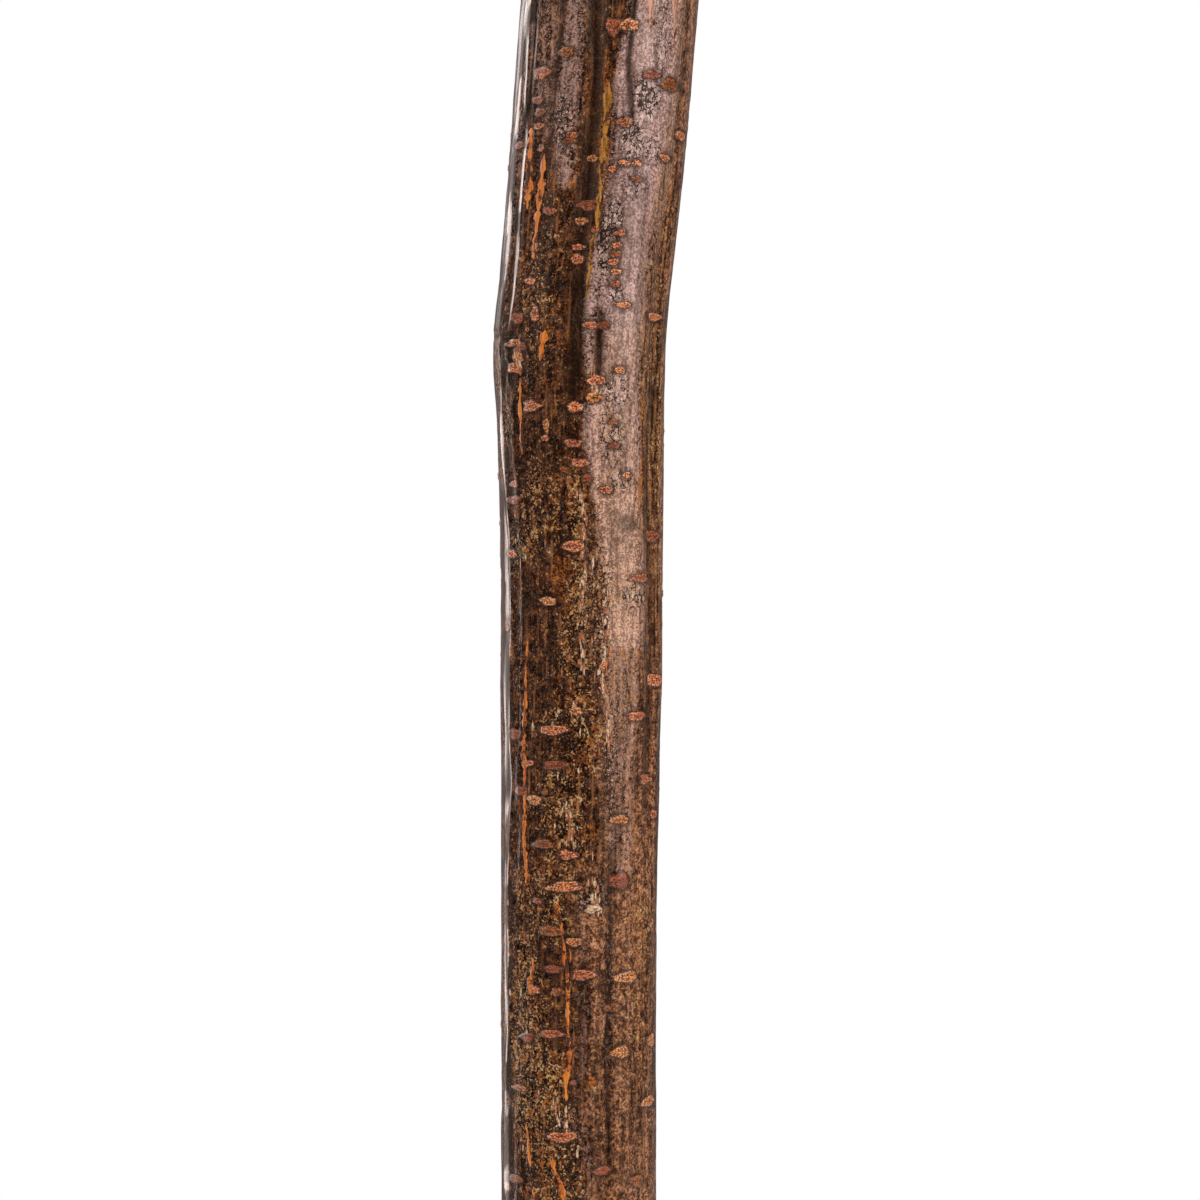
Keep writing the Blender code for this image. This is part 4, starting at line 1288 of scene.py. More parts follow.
@dataclass(frozen=True)
class RubberFinish(Finish):
    """Moulded rubber, dusty and slightly grained."""

    name: str = "moulded_rubber"
    grain_size: float = 0.35 * MM
    cloud_size: float = 6.0 * MM
    scuff_size: float = 2.4 * MM
    relief: float = 0.07 * MM

    def sockets(self, shader: Shader) -> dict[str, Any]:
        """Dust the rubber, most of all near the ground.

        Args:
            shader: The node tree that the finish is made in.

        Returns:
            The numbers, colours and values by the sockets' names.
        """
        place = shader.place()
        height = shader.apart(place)[2]
        grain = shader.noise(place, self.grain_size, 3.0, 0.6)
        cloud = shader.noise(place, self.cloud_size, 4.0, 0.6)
        scuff = shader.noise(shader.times(place, (1.0, 1.0, 6.0)), self.scuff_size, 4.0, 0.7)
        low = 1.0 - (height * 1000.0).stepped(0.5, 12.0)
        dust = (cloud * 0.5 + scuff * 0.5 + low * 0.12).stepped(0.48, 0.74)
        colour = shader.mixed(srgb(36, 36, 38), srgb(84, 80, 75), dust * 0.7)
        colour = shader.mixed(colour, srgb(22, 22, 24), grain.stepped(0.54, 0.7) * 0.6)
        return {
            "Base Color": colour,
            "Roughness": 0.52 + dust * 0.3 + (grain - 0.5) * 0.15,
            "Normal": shader.bumped(grain * 0.8 + scuff * 0.2, self.relief),
        }


# How a mesh stores one, three or four numbers for each point.
LAYER_KINDS = {1: ("FLOAT", "value"), 3: ("FLOAT_VECTOR", "vector"), 4: ("FLOAT_COLOR", "color")}


def make_piece(
    name: str,
    points: Array,
    faces: Faces,
    material: Material,
    body: Body,
    stands_for: Sequence[str] = (),
    layers: Layers | None = None,
) -> Piece:
    """Make one piece of the scene and hang it on its body.

    Args:
        name: The piece's name.
        points: Its points, one row each.
        faces: Its faces, as lists of points.
        material: What it is made of.
        body: The body that it rides on.
        stands_for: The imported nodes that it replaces.
        layers: What each point carries for the shader, by name.

    Returns:
        The piece.
    """
    mesh = bpy.data.meshes.new(name)
    mesh.from_pydata(points.tolist(), [], faces)
    for layer, content in (layers or {}).items():
        kind, field = LAYER_KINDS[1 if content.ndim == 1 else content.shape[1]]
        made = mesh.attributes.new(layer, kind, "POINT")
        made.data.foreach_set(field, np.ascontiguousarray(content, dtype=np.float32).ravel())
    mesh.shade_smooth()
    mesh.materials.append(material)
    piece = bpy.data.objects.new(name, mesh)
    bpy.context.scene.collection.objects.link(piece)
    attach(piece, body.value)
    if stands_for:
        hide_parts(*stands_for)
    LOG.info("%s: %d points, %d faces, rides on %s", name, len(points), len(faces), body.value)
    return piece


def grow(name: str, shapes: Iterable[Shape], material: Material) -> Piece:
    """Make one piece of the bark out of several shapes.

    Args:
        name: The piece's name.
        shapes: Points, faces and what the points carry, of each.
        material: What they are made of.

    Returns:
        The piece.
    """
    every = list(shapes)
    faces: Faces = []
    start = 0
    for points, own, _ in every:
        faces += [tuple(start + corner for corner in face) for face in own]
        start += len(points)
    layers = {layer: np.concatenate([shape[2][layer] for shape in every]) for layer in every[0][2]}
    points = np.concatenate([shape[0] for shape in every])
    return make_piece(name, points, faces, material, Body.STICK, layers=layers)


@dataclass
class Bark:
    """The bark's surface: its relief, and the zones of colour on it."""

    form: StickForm
    viewpoint: Viewpoint
    margin: float = 140.0
    fade: float = 120.0
    furrow_deepening: float = 1.4
    furrow_wander: float = 2.4
    zone_wander: float = 5.0
    film_edge: float = 20.0
    brown_edge: float = 14.0
    least_gold: float = 0.12
    crease_columns: tuple[float, float] = (486.0, 514.0)
    crease_row: float = 337.0
    fold_row: float = 329.0
    pore_shade: float = 0.7
    pore_margin: float = 3.0

    def __post_init__(self) -> None:
        """Draw the bark's unevenness."""
        self.fibre = Grain(11, 72, 9.0 * MM)
        self.strand = Grain(17, 104, 4.0 * MM)
        self.ridge = Grain(12, 26, 35.0 * MM)
        self.crumb = Grain(13, 200, 1.0 * MM)
        self.strips = Grain(14, 17, 62.0 * MM)
        self.clouds = Grain(15, 12, 26.0 * MM)
        self.spots = Grain(16, 22, 11.0 * MM)

    def photographed(self, angles: Array, heights: Array) -> tuple[Array, Array, Array]:
        """Find where the bark shows in the photograph.

        Args:
            angles: Angles round the stick.
            heights: Heights on the stick.

        Returns:
            The columns, the rows, and how far the photograph counts there, from 0 to 1.
        """
        places = self.points(angles, heights, self.form.radius(angles, heights))
        columns, rows = self.viewpoint.seen_at(places)
        counts = eased((np.cos(np.radians(angles)) + 0.05) / 0.12)
        last = 2.0 * self.viewpoint.half_picture + self.margin
        counts = counts * eased((rows + self.margin) / self.fade) * eased((last - rows) / self.fade)
        return columns, rows, counts

    def points(self, angles: Array, heights: Array, radius: Array) -> Array:
        """Find places on and near the bark.

        Args:
            angles: Angles round the stick.
            heights: Heights on the stick.
            radius: Distances from the middle.

        Returns:
            The places, in the last axis.
        """
        places = self.straight(angles, heights, radius)
        places[..., :2] += self.form.centre(heights)
        return places

    def straight(self, angles: Array, heights: Array, radius: Array) -> Array:
        """Find the places as they would lie on a straight stick.

        Args:
            angles: Angles round the stick.
            heights: Heights on the stick.
            radius: Distances from the middle.

        Returns:
            The places, in the last axis.
        """
        turns = np.radians(angles)
        x = radius * np.sin(turns)
        return np.stack([x, -radius * np.cos(turns), np.broadcast_to(heights, x.shape)], axis=-1)

    def rough(self, angles: Array, heights: Array) -> Array:
        """Find how rough the bark is.

        Args:
            angles: Angles round the stick.
            heights: Heights on the stick.

        Returns:
            The roughness at each place, from 0 to 1.
        """
        columns, rows, counts = self.photographed(angles, heights)
        shown = laid(np.zeros(np.shape(columns)), (patch.cover(columns, rows) for patch in ROUGH_PATCHES))
        hidden = eased((self.spots.at(angles, heights) - 0.35) / 0.3) * 0.8
        return shown * counts + hidden * (1.0 - counts)

    def furrowed(self, columns: Array, rows: Array) -> tuple[Array, Array]:
        """Find the photographed furrows and the crease.

        Args:
            columns: Pixel columns.
            rows: Pixel rows.

        Returns:
            Their depth and the painted shade in them at each pixel.
        """
        depth = np.zeros(np.shape(columns))
        shade = np.zeros(np.shape(columns))
        for furrow in FURROWS:
            inside = furrow.cover(columns, rows)
            depth = depth + self.furrow_deepening * furrow.depth * MM * inside
            shade = np.maximum(shade, furrow.shade * inside)
        # The crease across the bark on the kink's left edge, with a fold above it, and painted shade in the
        # crease.
        left, right = self.crease_columns
        crease = eased((columns - left) / 6.0) * eased((right - columns) / 6.0)
        groove = bell((rows - self.crease_row) / 2.5)
        fold = bell((rows - self.fold_row) / 4.0)
        depth = depth + crease * (0.20 * groove - 0.10 * fold) * MM
        return depth, np.maximum(shade, crease * groove)

    def radius(self, angles: Array, heights: Array) -> Array:
        """Find how far the bark's surface lies from the middle, with all its relief.

        Args:
            angles: Angles round the stick.
            heights: Heights on the stick.

        Returns:
            The radius at each place.
        """
        columns, rows, counts = self.photographed(angles, heights)
        fibres = self.fibre.at(angles, heights)
        furrows = self.furrowed(columns + self.furrow_wander * fibres, rows)[0]
        radius = self.form.radius(angles, heights) - furrows * counts
        radius = radius + self.ridge.at(angles, heights) * (0.12 - 0.04 * counts) * MM + fibres * 0.08 * MM
        radius = radius + self.strand.at(angles, heights) * 0.035 * MM
        return radius + self.crumb.at(angles, heights) * (0.02 + 0.12 * self.rough(angles, heights)) * MM

    def zones(self, angles: Array, heights: Array) -> Array:
        """Find the zones of colour.

        Args:
            angles: Angles round the stick.
            heights: Heights on the stick.

        Returns:
            How mauve (its own colour and a painted sheen), brown, amber and golden each place is, in the last
            axis.
        """
        columns, rows, counts = self.photographed(angles, heights)
        strips = self.strips.at(angles, heights)
        clouds = self.clouds.at(angles, heights)
        spots = self.spots.at(angles, heights)
        columns = columns + self.zone_wander * spots
        blank = np.zeros(np.shape(columns))
        shown = (
            laid(blank, (band.cover(columns, rows, self.film_edge) for band in MAUVE_FILM_AND_SHEEN_BANDS)),
            laid(blank, (band.cover(columns, rows, self.brown_edge) for band in BROWN_BANDS)),
            laid(blank, (patch.cover(columns, rows) for patch in AMBER_PATCHES)),
            laid(blank + self.least_gold, (patch.cover(columns, rows) for patch in GOLD_PATCHES)),
        )
        elsewhere = (
            eased((strips - 0.1) / 0.3) * 0.9,
            eased((clouds + 0.25 * strips) / 0.5) * 0.8,
            eased((spots * clouds - 0.3) / 0.2) * 0.6,
            eased((spots + 0.5 * clouds + 0.2) / 0.9),
        )
        both = [near * counts + far * (1.0 - counts) for near, far in zip(shown, elsewhere)]
        return np.stack(both, axis=-1)

    def touches(self, angles: Array, heights: Array) -> Array:
        """Find the finer touches.

        Args:
            angles: Angles round the stick.
            heights: Heights on the stick.

        Returns:
            How fibrous, how dark with painted shade and dark patches, how rough and how polished each place
            is, in the last axis.
        """
        columns, rows, counts = self.photographed(angles, heights)
        # The fibrous strip down the right of the stick.
        strip = eased((columns - 634.0) / 10.0) * eased((rows - 120.0) / 60.0) * eased((680.0 - rows) / 60.0)
        elsewhere = 0.3 + 0.4 * self.clouds.at(angles, heights)
        fibre = (0.25 + 0.75 * strip) * counts + elsewhere * (1.0 - counts)
        fibres = self.fibre.at(angles, heights)
        shade_and_dark_patches = self.furrowed(columns + self.furrow_wander * fibres, rows)[1]
        # A dark ring round each pore, painted shade at its foot.
        for column, row, width, height in PORES:
            across = (columns - column) / (width / 2.0 + self.pore_margin)
            down = (rows - row) / (height / 2.0 + self.pore_margin)
            shade_and_dark = self.pore_shade * eased(2.2 - 1.5 * np.sqrt(across * across + down * down))
            shade_and_dark_patches = np.maximum(shade_and_dark_patches, shade_and_dark)
        shine = POLISHED.cover(columns, rows, 6.0) * counts
        # Dark streaks down the polished band, painted shade between its highlight lines.
        streaks = shine * eased((self.strand.at(angles, heights) + 0.5 * fibres - 0.05) / 0.25) * 0.9
        shade_and_dark_patches = laid(shade_and_dark_patches, (streaks, *(patch.cover(columns, rows) for patch in DARK_PATCHES))) * counts
        # On the unseen sides, painted shade in the low ground between the broad ridges.
        hidden = np.clip(-self.ridge.at(angles, heights) - 0.4, 0.0, 0.6) * (1.0 - counts)
        shine = shine + 0.4 * eased(self.strips.at(angles, heights)) * (1.0 - counts)
        return np.stack([fibre, shade_and_dark_patches + hidden, self.rough(angles, heights), shine], axis=-1)


@dataclass(frozen=True)
class Sheet:
    """A stretch of the unrolled bark: where it ends on the stick, and its place on the colour map."""

    top: float
    left: float
    right: float
    low: float
    high: float


@dataclass(frozen=True)
class Unrolling:
    """Unrolls the bark in sheets onto its colour map, where the photographed stretch gets half the room."""

    sheets: tuple[Sheet, ...] = (
        Sheet(0.345, 0.504, 0.748, 0.004, 0.996),
        Sheet(0.512, 0.752, 0.996, 0.004, 0.490),
        Sheet(0.716, 0.004, 0.496, 0.004, 0.996),
        Sheet(0.915, 0.752, 0.996, 0.530, 0.996),
    )
    end_radius: float = 0.012
    end_places: tuple[tuple[float, float], ...] = ((0.80, 0.51), (0.90, 0.51))

    def lay(self, piece: Piece, angles: Array, ring_of: Array, rings: Array) -> None:
        """Give the piece its map.

        Args:
            piece: The bark.
            angles: The angle of each point.
            ring_of: The ring of each point, counted from the bottom.
            rings: The height and the mean radius of each ring.
        """
        mesh = piece.data
        corners = np.empty(len(mesh.loops), dtype=np.int32)
        mesh.loops.foreach_get("vertex_index", corners)
        starts = np.empty(len(mesh.polygons), dtype=np.int32)
        sizes = np.empty(len(mesh.polygons), dtype=np.int32)
        mesh.polygons.foreach_get("loop_start", starts)
        mesh.polygons.foreach_get("loop_total", sizes)
        # The way round, with the seam behind, kept together over each face.
        turns = angles[corners] / 360.0 + 0.5
        turns = turns - np.round(turns - np.repeat(turns[starts], sizes))
        turns = turns - np.repeat(np.floor(np.add.reduceat(turns, starts) / sizes), sizes)
        # The way up, measured along the surface.
        steps = np.hypot(*np.diff(rings, axis=0).T)
        lengths = np.concatenate([[0.0], np.cumsum(steps)])
        ways = lengths[ring_of][corners]
        ends = np.array([lengths[np.abs(rings[:, 0] - sheet.top).argmin()] for sheet in self.sheets])
        ends[-1] = lengths[-1]
        begins = np.concatenate([[0.0], ends[:-1]])
        chosen = np.searchsorted(ends, np.add.reduceat(ways, starts) / sizes)
        chosen = np.repeat(np.minimum(chosen, len(ends) - 1), sizes)
        left, right, low, high = (
            np.array([getattr(sheet, side) for sheet in self.sheets])[chosen]
            for side in ("left", "right", "low", "high")
        )
        across = left + (right - left) * turns
        up = low + (high - low) * (ways - begins[chosen]) / (ends - begins)[chosen]
        # The two flat ends.
        for face, (column, row) in zip((0, -1), self.end_places):
            around = slice(starts[face], starts[face] + sizes[face])
            turned = np.radians(angles[corners[around]])
            across[around] = column + self.end_radius * np.cos(turned)
            up[around] = row + self.end_radius * np.sin(turned)
        layer = mesh.uv_layers.new(name="OFBake", do_init=False)
        layer.uv.foreach_set("vector", np.stack([across, up], axis=-1).astype(np.float32).ravel())


@dataclass
class BarkSkin:
    """The bark from shoulder to shoulder, finest where the photograph shows it, with its two tenons."""

    bark: Bark
    columns_round: int = 208
    front_crowding: float = 0.40
    fine_bottom: float = 0.5120
    fine_top: float = 0.7160
    fine_pitch: float = 0.64 * MM
    coarse_pitch: float = 2.0 * MM
    foot_tenon_radius: float = 8.4 * MM
    head_tenon_radius: float = 13.5 * MM

    def angles(self) -> Array:
        """Return the angles of the columns, which stand closest together at the front."""
        turns = np.arange(self.columns_round) / self.columns_round
        return 360.0 * turns - np.degrees(self.front_crowding * np.sin(2.0 * np.pi * turns))

    def levels(self) -> Array:
        """Spread the bark's rings over its height.

        Returns:
            Their heights, from the lower shoulder up.
        """
        form = self.bark.form
        low = form.lower_shoulder + form.shoulder_chamfer
        high = form.upper_shoulder - form.shoulder_chamfer
        stops = (low, self.fine_bottom, self.fine_top, high)
        pitches = (self.coarse_pitch, self.fine_pitch, self.coarse_pitch)
        runs = [
            np.linspace(start, end, round((end - start) / pitch), endpoint=False)
            for start, end, pitch in zip(stops, stops[1:], pitches)
        ]
        return np.concatenate([*runs, [high]])

    def rings(self) -> list[tuple[float, Array, bool]]:
        """List the rings from the bottom up.

        Returns:
            The height of each, its radius at each angle, and whether it is fine.
        """
        form = self.bark.form
        angles = self.angles()
        foot = np.full(self.columns_round, self.foot_tenon_radius)
        head = np.full(self.columns_round, self.head_tenon_radius)

        def bark_at(level: float) -> Array:
            """Return the bark's radius round the stick at one level."""
            return self.bark.radius(angles, np.full(self.columns_round, level))

        broken_edge = form.shoulder_chamfer / 2
        rings = [(form.bottom, foot, False), (form.lower_shoulder, foot, False)]
        rings.append((form.lower_shoulder, bark_at(form.lower_shoulder) - broken_edge, False))
        for level in self.levels():
            rings.append((level, bark_at(level), self.fine_bottom <= level < self.fine_top))
        rings.append((form.upper_shoulder, bark_at(form.upper_shoulder) - broken_edge, False))
        rings += [(form.upper_shoulder, head, False), (form.top, head, False)]
        return rings

    def faces(self, starts: list[int], counts: list[int]) -> Faces:
        """Join the rings.

        Args:
            starts: The first point of each ring.
            counts: How many points each ring has.

        Returns:
            The faces, with five-sided ones where a coarse ring meets a fine one.
        """
        faces: Faces = [tuple(range(counts[0]))[::-1]]
        for low, high, low_count, high_count in zip(starts, starts[1:], counts, counts[1:]):
            fewest, most = sorted((low_count, high_count))
            for side in range(fewest):
                following = (side + 1) % fewest
                double = 2 * side
                wide = (double + 2) % most
                if low_count == high_count:
                    faces.append((low + side, low + following, high + following, high + side))
                elif low_count < high_count:
                    faces.append((low + side, low + following, high + wide, high + double + 1, high + double))
                else:
                    faces.append((low + double, low + double + 1, low + wide, high + following, high + side))
        faces.append(tuple(range(starts[-1], starts[-1] + counts[-1])))
        return faces

    def build(self, material: Material) -> Piece:
        """Build the bark, with every other column left out of the coarse rings.

        Args:
            material: What it is made of.

        Returns:
            The piece.
        """
        angles = self.angles()
        rings = self.rings()
        steps = [1 if fine else 2 for *_, fine in rings]
        counts = [self.columns_round // step for step in steps]
        starts = [0, *np.cumsum(counts[:-1]).tolist()]
        around = np.concatenate([angles[::step] for step in steps])
        levels = np.repeat([height for height, *_ in rings], counts)
        radius = np.concatenate([ring[1][::step] for ring, step in zip(rings, steps)])
        points = self.bark.points(around, levels, radius)
        layers = {
            "straight": self.bark.straight(around, levels, radius),
            "zone": self.bark.zones(around, levels),
            "touch": self.bark.touches(around, levels),
        }
        faces = self.faces(starts, counts)
        piece = make_piece("bark", points, faces, material, Body.STICK, ("shaft",), layers)
        ring_of = np.repeat(np.arange(len(counts)), counts)
        means = np.array([(height, radius.mean()) for height, radius, _ in rings])
        Unrolling().lay(piece, around, ring_of, means)
        return piece


@dataclass(frozen=True)
class Spots:
    """Many small raised spots, with one number for each of them in every array."""

    angles: Array
    heights: Array
    half_widths: Array
    half_heights: Array
    raised: Array
    tones: Array

    @classmethod
    def joined(cls, *groups: "Spots") -> "Spots":
        """Put several groups together."""
        names = ("angles", "heights", "half_widths", "half_heights", "raised", "tones")
        return cls(*(np.concatenate([getattr(group, name) for group in groups]) for name in names))


@dataclass(frozen=True)
class Blisters:
    """Raised spots that grow out of the bark: a domed top, a sunk skirt and a closed underside."""

    bark: Bark
    seed: int
    sides: int
    shares: tuple[float, ...]
    uneven: float = 1.0
    cleft: float = 0.0
    cleft_width: float = 0.13
    skirt: float = 0.15 * MM
    rim: float = 0.03 * MM
    waves: tuple[tuple[int, float], ...] = ((2, 0.06), (3, 0.09), (5, 0.07))

    def shape(self, spots: Spots) -> Shape:
        """Form the spots.

        Args:
            spots: Where they lie and how big they are.

        Returns:
            The points, the faces and what the points carry.
        """
        draws = np.random.default_rng(self.seed)
        count = len(spots.angles)
        turns = np.arange(self.sides) * 2.0 * np.pi / self.sides
        outline = np.ones((count, self.sides))
        for waves, swing in self.waves:
            phase = draws.uniform(0.0, 2.0 * np.pi, (count, 1))
            size = draws.uniform(0.4, 1.0, (count, 1))
            outline += self.uneven * swing * size * np.sin(waves * turns + phase)
        shares = np.array([*self.shares, 0.0])[None, :, None]
        across = shares * np.cos(turns) * outline[:, None, :]
        along = shares * np.sin(turns) * outline[:, None, :]
        dome = np.sqrt(np.clip(1.0 - shares * shares, 0.0, 1.0)) * np.ones_like(across)
        wander = draws.uniform(-0.2, 0.2, (count, 1, 1))
        slope = draws.uniform(-0.15, 0.15, (count, 1, 1))
        gap = bell((along - wander - slope * across) / self.cleft_width)
        gap = gap * eased((0.95 - np.abs(across)) / 0.5)
        lift = spots.raised[:, None, None] * (dome - 0.9 * self.cleft * gap)
        lift = np.where(shares >= 1.0, self.rim, lift)
        lift[:, -2, :] = -self.skirt
        lift[:, -1, :] = -2.0 * self.skirt
        reach = self.bark.form.radius(spots.angles, spots.heights)
        turned = np.degrees(across * (spots.half_widths / reach)[:, None, None])
        angles = spots.angles[:, None, None] + turned
        heights = spots.heights[:, None, None] + along * spots.half_heights[:, None, None]
        radius = self.bark.radius(angles, heights) + lift
        layers = {
            "straight": self.bark.straight(angles, heights, radius),
            "rise": np.clip(1.0 - shares * np.ones_like(across), 0.0, 1.0),
            "tone": spots.tones[:, None, None] * np.ones_like(across),
            "cleft": self.cleft * gap,
        }
        rings = len(self.shares) + 1
        # One point in the middle, the rings, and one underneath.
        kept = [0, *range(self.sides, (rings - 1) * self.sides + 1)]

        def listed(grid: Array) -> Array:
            """Return the kept points' share of a grid, one point after the other."""
            flat = grid.reshape(count, rings * self.sides, -1)[:, kept].reshape(count * len(kept), -1)
            return flat if flat.shape[1] > 1 else flat[:, 0]

        faces = [
            tuple(start + corner for corner in face)
            for start in range(0, count * len(kept), len(kept))
            for face in self.faces_of_one()
        ]
        points = listed(self.bark.points(angles, heights, radius))
        return points, faces, {name: listed(grid) for name, grid in layers.items()}

    def faces_of_one(self) -> Faces:
        """Join the points of one spot.

        Returns:
            Its faces, counted from its middle point.
        """
        rings = len(self.shares) - 1
        under = rings * self.sides + 1
        faces: Faces = []
        for side in range(self.sides):
            following = (side + 1) % self.sides
            faces.append((0, 1 + side, 1 + following))
            for ring in range(rings - 1):
                inner = 1 + ring * self.sides
                outer = inner + self.sides
                faces.append((inner + side, outer + side, outer + following, inner + following))
            outer = 1 + (rings - 1) * self.sides
            faces.append((outer + side, under, outer + following))
        return faces


@dataclass
class BarkPores:
    """The corky pores: those of the photograph one by one, and seeded ones on the rest of the stick."""

    bark: Bark
    hidden_count: int = 1150
    closest: float = 3.4 * MM
    end_margin: float = 4.0 * MM
    raised: float = 0.17 * MM
    usual_width: float = 14.0
    least_facing: float = 0.4
    barely_shown: float = 0.25

    def shown(self) -> Spots:
        """Place the pores that the photograph shows.

        Returns:
            Where they lie and how big they are.
        """
        columns, rows, widths, heights = np.array(PORES, dtype=float).T
        viewpoint = self.bark.viewpoint
        angles, levels = viewpoint.onto_bark(columns, rows, self.bark.form)
        facing = np.maximum(np.cos(np.radians(angles)), self.least_facing)
        draws = np.random.default_rng(21)
        return Spots(
            angles,
            levels,
            widths / 2.0 / viewpoint.pixels_per_metre / facing,
            heights / 2.0 / viewpoint.pixels_per_metre,
            self.raised * np.clip(widths / self.usual_width, 0.6, 1.3),
            draws.uniform(0.0, 1.0, len(angles)),
        )

    def hidden(self) -> Spots:
        """Place the pores on the rest of the stick, none too close to another.

        Returns:
            Where they lie and how big they are.
        """
        draws = np.random.default_rng(22)
        form = self.bark.form
        angles = draws.uniform(0.0, 360.0, self.hidden_count)
        low, high = form.lower_shoulder + self.end_margin, form.upper_shoulder - self.end_margin
        levels = draws.uniform(low, high, self.hidden_count)
        places = self.bark.straight(angles, levels, form.radius(angles, levels))
        counts = self.bark.photographed(angles, levels)[2]
        free: list[int] = []
        for number, place in enumerate(places):
            near = places[free] - place
            clear = not free or np.min(np.linalg.norm(near, axis=1)) > self.closest
            if counts[number] < self.barely_shown and clear:
                free.append(number)
        count = len(free)
        big = draws.beta(2.0, 3.0, count)
        return Spots(
            angles[free],
            levels[free],
            (0.55 + 1.05 * big) * MM,
            (0.42 + 0.42 * big * draws.uniform(0.6, 1.2, count)) * MM,
            self.raised * (0.6 + 0.7 * big),
            draws.uniform(0.0, 1.0, count),
        )

    def build(self, material: Material) -> Piece:
        """Build all the pores.

        Args:
            material: What they are made of.

        Returns:
            The piece.
        """
        shares = (0.0, 0.22, 0.42, 0.62, 0.80, 0.93, 1.0, 1.16, 1.26)
        near = Blisters(self.bark, 23, 24, shares, uneven=1.7, cleft=0.6)
        far = Blisters(self.bark, 24, 12, (0.0, 0.3, 0.6, 0.88, 1.08), uneven=1.3, cleft=0.5)
        return grow("bark_pores", (near.shape(self.shown()), far.shape(self.hidden())), material)


@dataclass
class BarkFlakes:
    """Dry flakes of outer bark, and a pale knot."""

    bark: Bark
    flakes_per_pixel: float = 0.55
    loose_flakes: int = 80
    hidden_flakes: int = 170
    spread: float = 0.6
    raised: float = 0.06 * MM
    knot_raised: float = 0.28 * MM
    tries: int = 4000
    end_margin: float = 3.0 * MM
    strewn_strength: float = 0.65
    strewn_below: float = 500.0
    least_roughness: float = 0.45

    def knot(self) -> Spots:
        """Place the pale knot.

        Returns:
            Where it lies and how big it is, as a group of one.
        """
        columns, rows, widths, heights = np.array([PALE_KNOT], dtype=float).T
        viewpoint = self.bark.viewpoint
        angles, levels = viewpoint.onto_bark(columns, rows, self.bark.form)
        scale = 0.5 / viewpoint.pixels_per_metre
        count = len(angles)
        raised, tones = np.full(count, self.knot_raised), np.full(count, 0.7)
        return Spots(angles, levels, widths * scale * 1.2, heights * scale, raised, tones)

    def shown(self) -> Spots:
        """Strew flakes along the photographed lines and over the rough and golden patches.

        Returns:
            Where they lie and how big they are.
        """
        draws = np.random.default_rng(31)
        columns, rows = [], []
        for half_width, course in FLAKE_LINES:
            levels, middles = zip(*course)
            count = round((levels[-1] - levels[0]) * self.flakes_per_pixel)
            down = draws.uniform(levels[0], levels[-1], count)
            rows.append(down)
            middle = np.interp(down, levels, middles)
            columns.append(middle + draws.normal(0.0, self.spread * half_width, count))
        every = (*GOLD_PATCHES, *ROUGH_PATCHES)
        strong = [patch for patch in every if patch.strength > self.strewn_strength]
        strong = [patch for patch in strong if patch.row > self.strewn_below]
        for patch in strong:
            count = self.loose_flakes // len(strong) + 1
            rows.append(patch.row + draws.normal(0.0, self.spread, count) * patch.half_height)
            columns.append(patch.column + draws.normal(0.0, self.spread, count) * patch.half_width)
        across, down = np.concatenate(columns), np.concatenate(rows)
        viewpoint = self.bark.viewpoint
        angles, levels = viewpoint.onto_bark(across, down, self.bark.form)
        scale = 0.5 / viewpoint.pixels_per_metre
        count = len(angles)
        widths = draws.uniform(1.0, 3.2, count) * scale
        tall = draws.uniform(2.0, 12.0, count) * scale
        raised, tones = np.full(count, self.raised), draws.uniform(0.0, 1.0, count)
        return Spots(angles, levels, widths, tall, raised, tones)

    def hidden(self) -> Spots:
        """Strew flakes on the rest of the stick, where it is rough.

        Returns:
            Where they lie and how big they are.
        """
        draws = np.random.default_rng(32)
        form = self.bark.form
        angles = draws.uniform(0.0, 360.0, self.tries)
        low, high = form.lower_shoulder + self.end_margin, form.upper_shoulder - self.end_margin
        levels = draws.uniform(low, high, self.tries)
        counts = self.bark.photographed(angles, levels)[2]
        wanted = (self.bark.rough(angles, levels) > self.least_roughness) & (counts < HIDDEN)
        picked = np.flatnonzero(wanted)[: self.hidden_flakes]
        count = len(picked)
        widths = draws.uniform(0.15, 0.38, count) * MM
        tall = draws.uniform(0.2, 0.7, count) * MM
        raised = np.full(count, self.raised)
        return Spots(angles[picked], levels[picked], widths, tall, raised, draws.uniform(0.0, 1.0, count))

    def build(self, material: Material) -> Piece:
        """Build the flakes and the knot.

        Args:
            material: What they are made of.

        Returns:
            The piece.
        """
        chips = Blisters(self.bark, 33, 10, (0.0, 0.5, 0.85, 1.0, 1.15), uneven=2.6)
        lumps = Blisters(self.bark, 34, 24, (0.0, 0.3, 0.55, 0.78, 0.93, 1.0, 1.1), uneven=2.2)
        every = Spots.joined(self.shown(), self.hidden())
        return grow("bark_flakes", (chips.shape(every), lumps.shape(self.knot())), material)


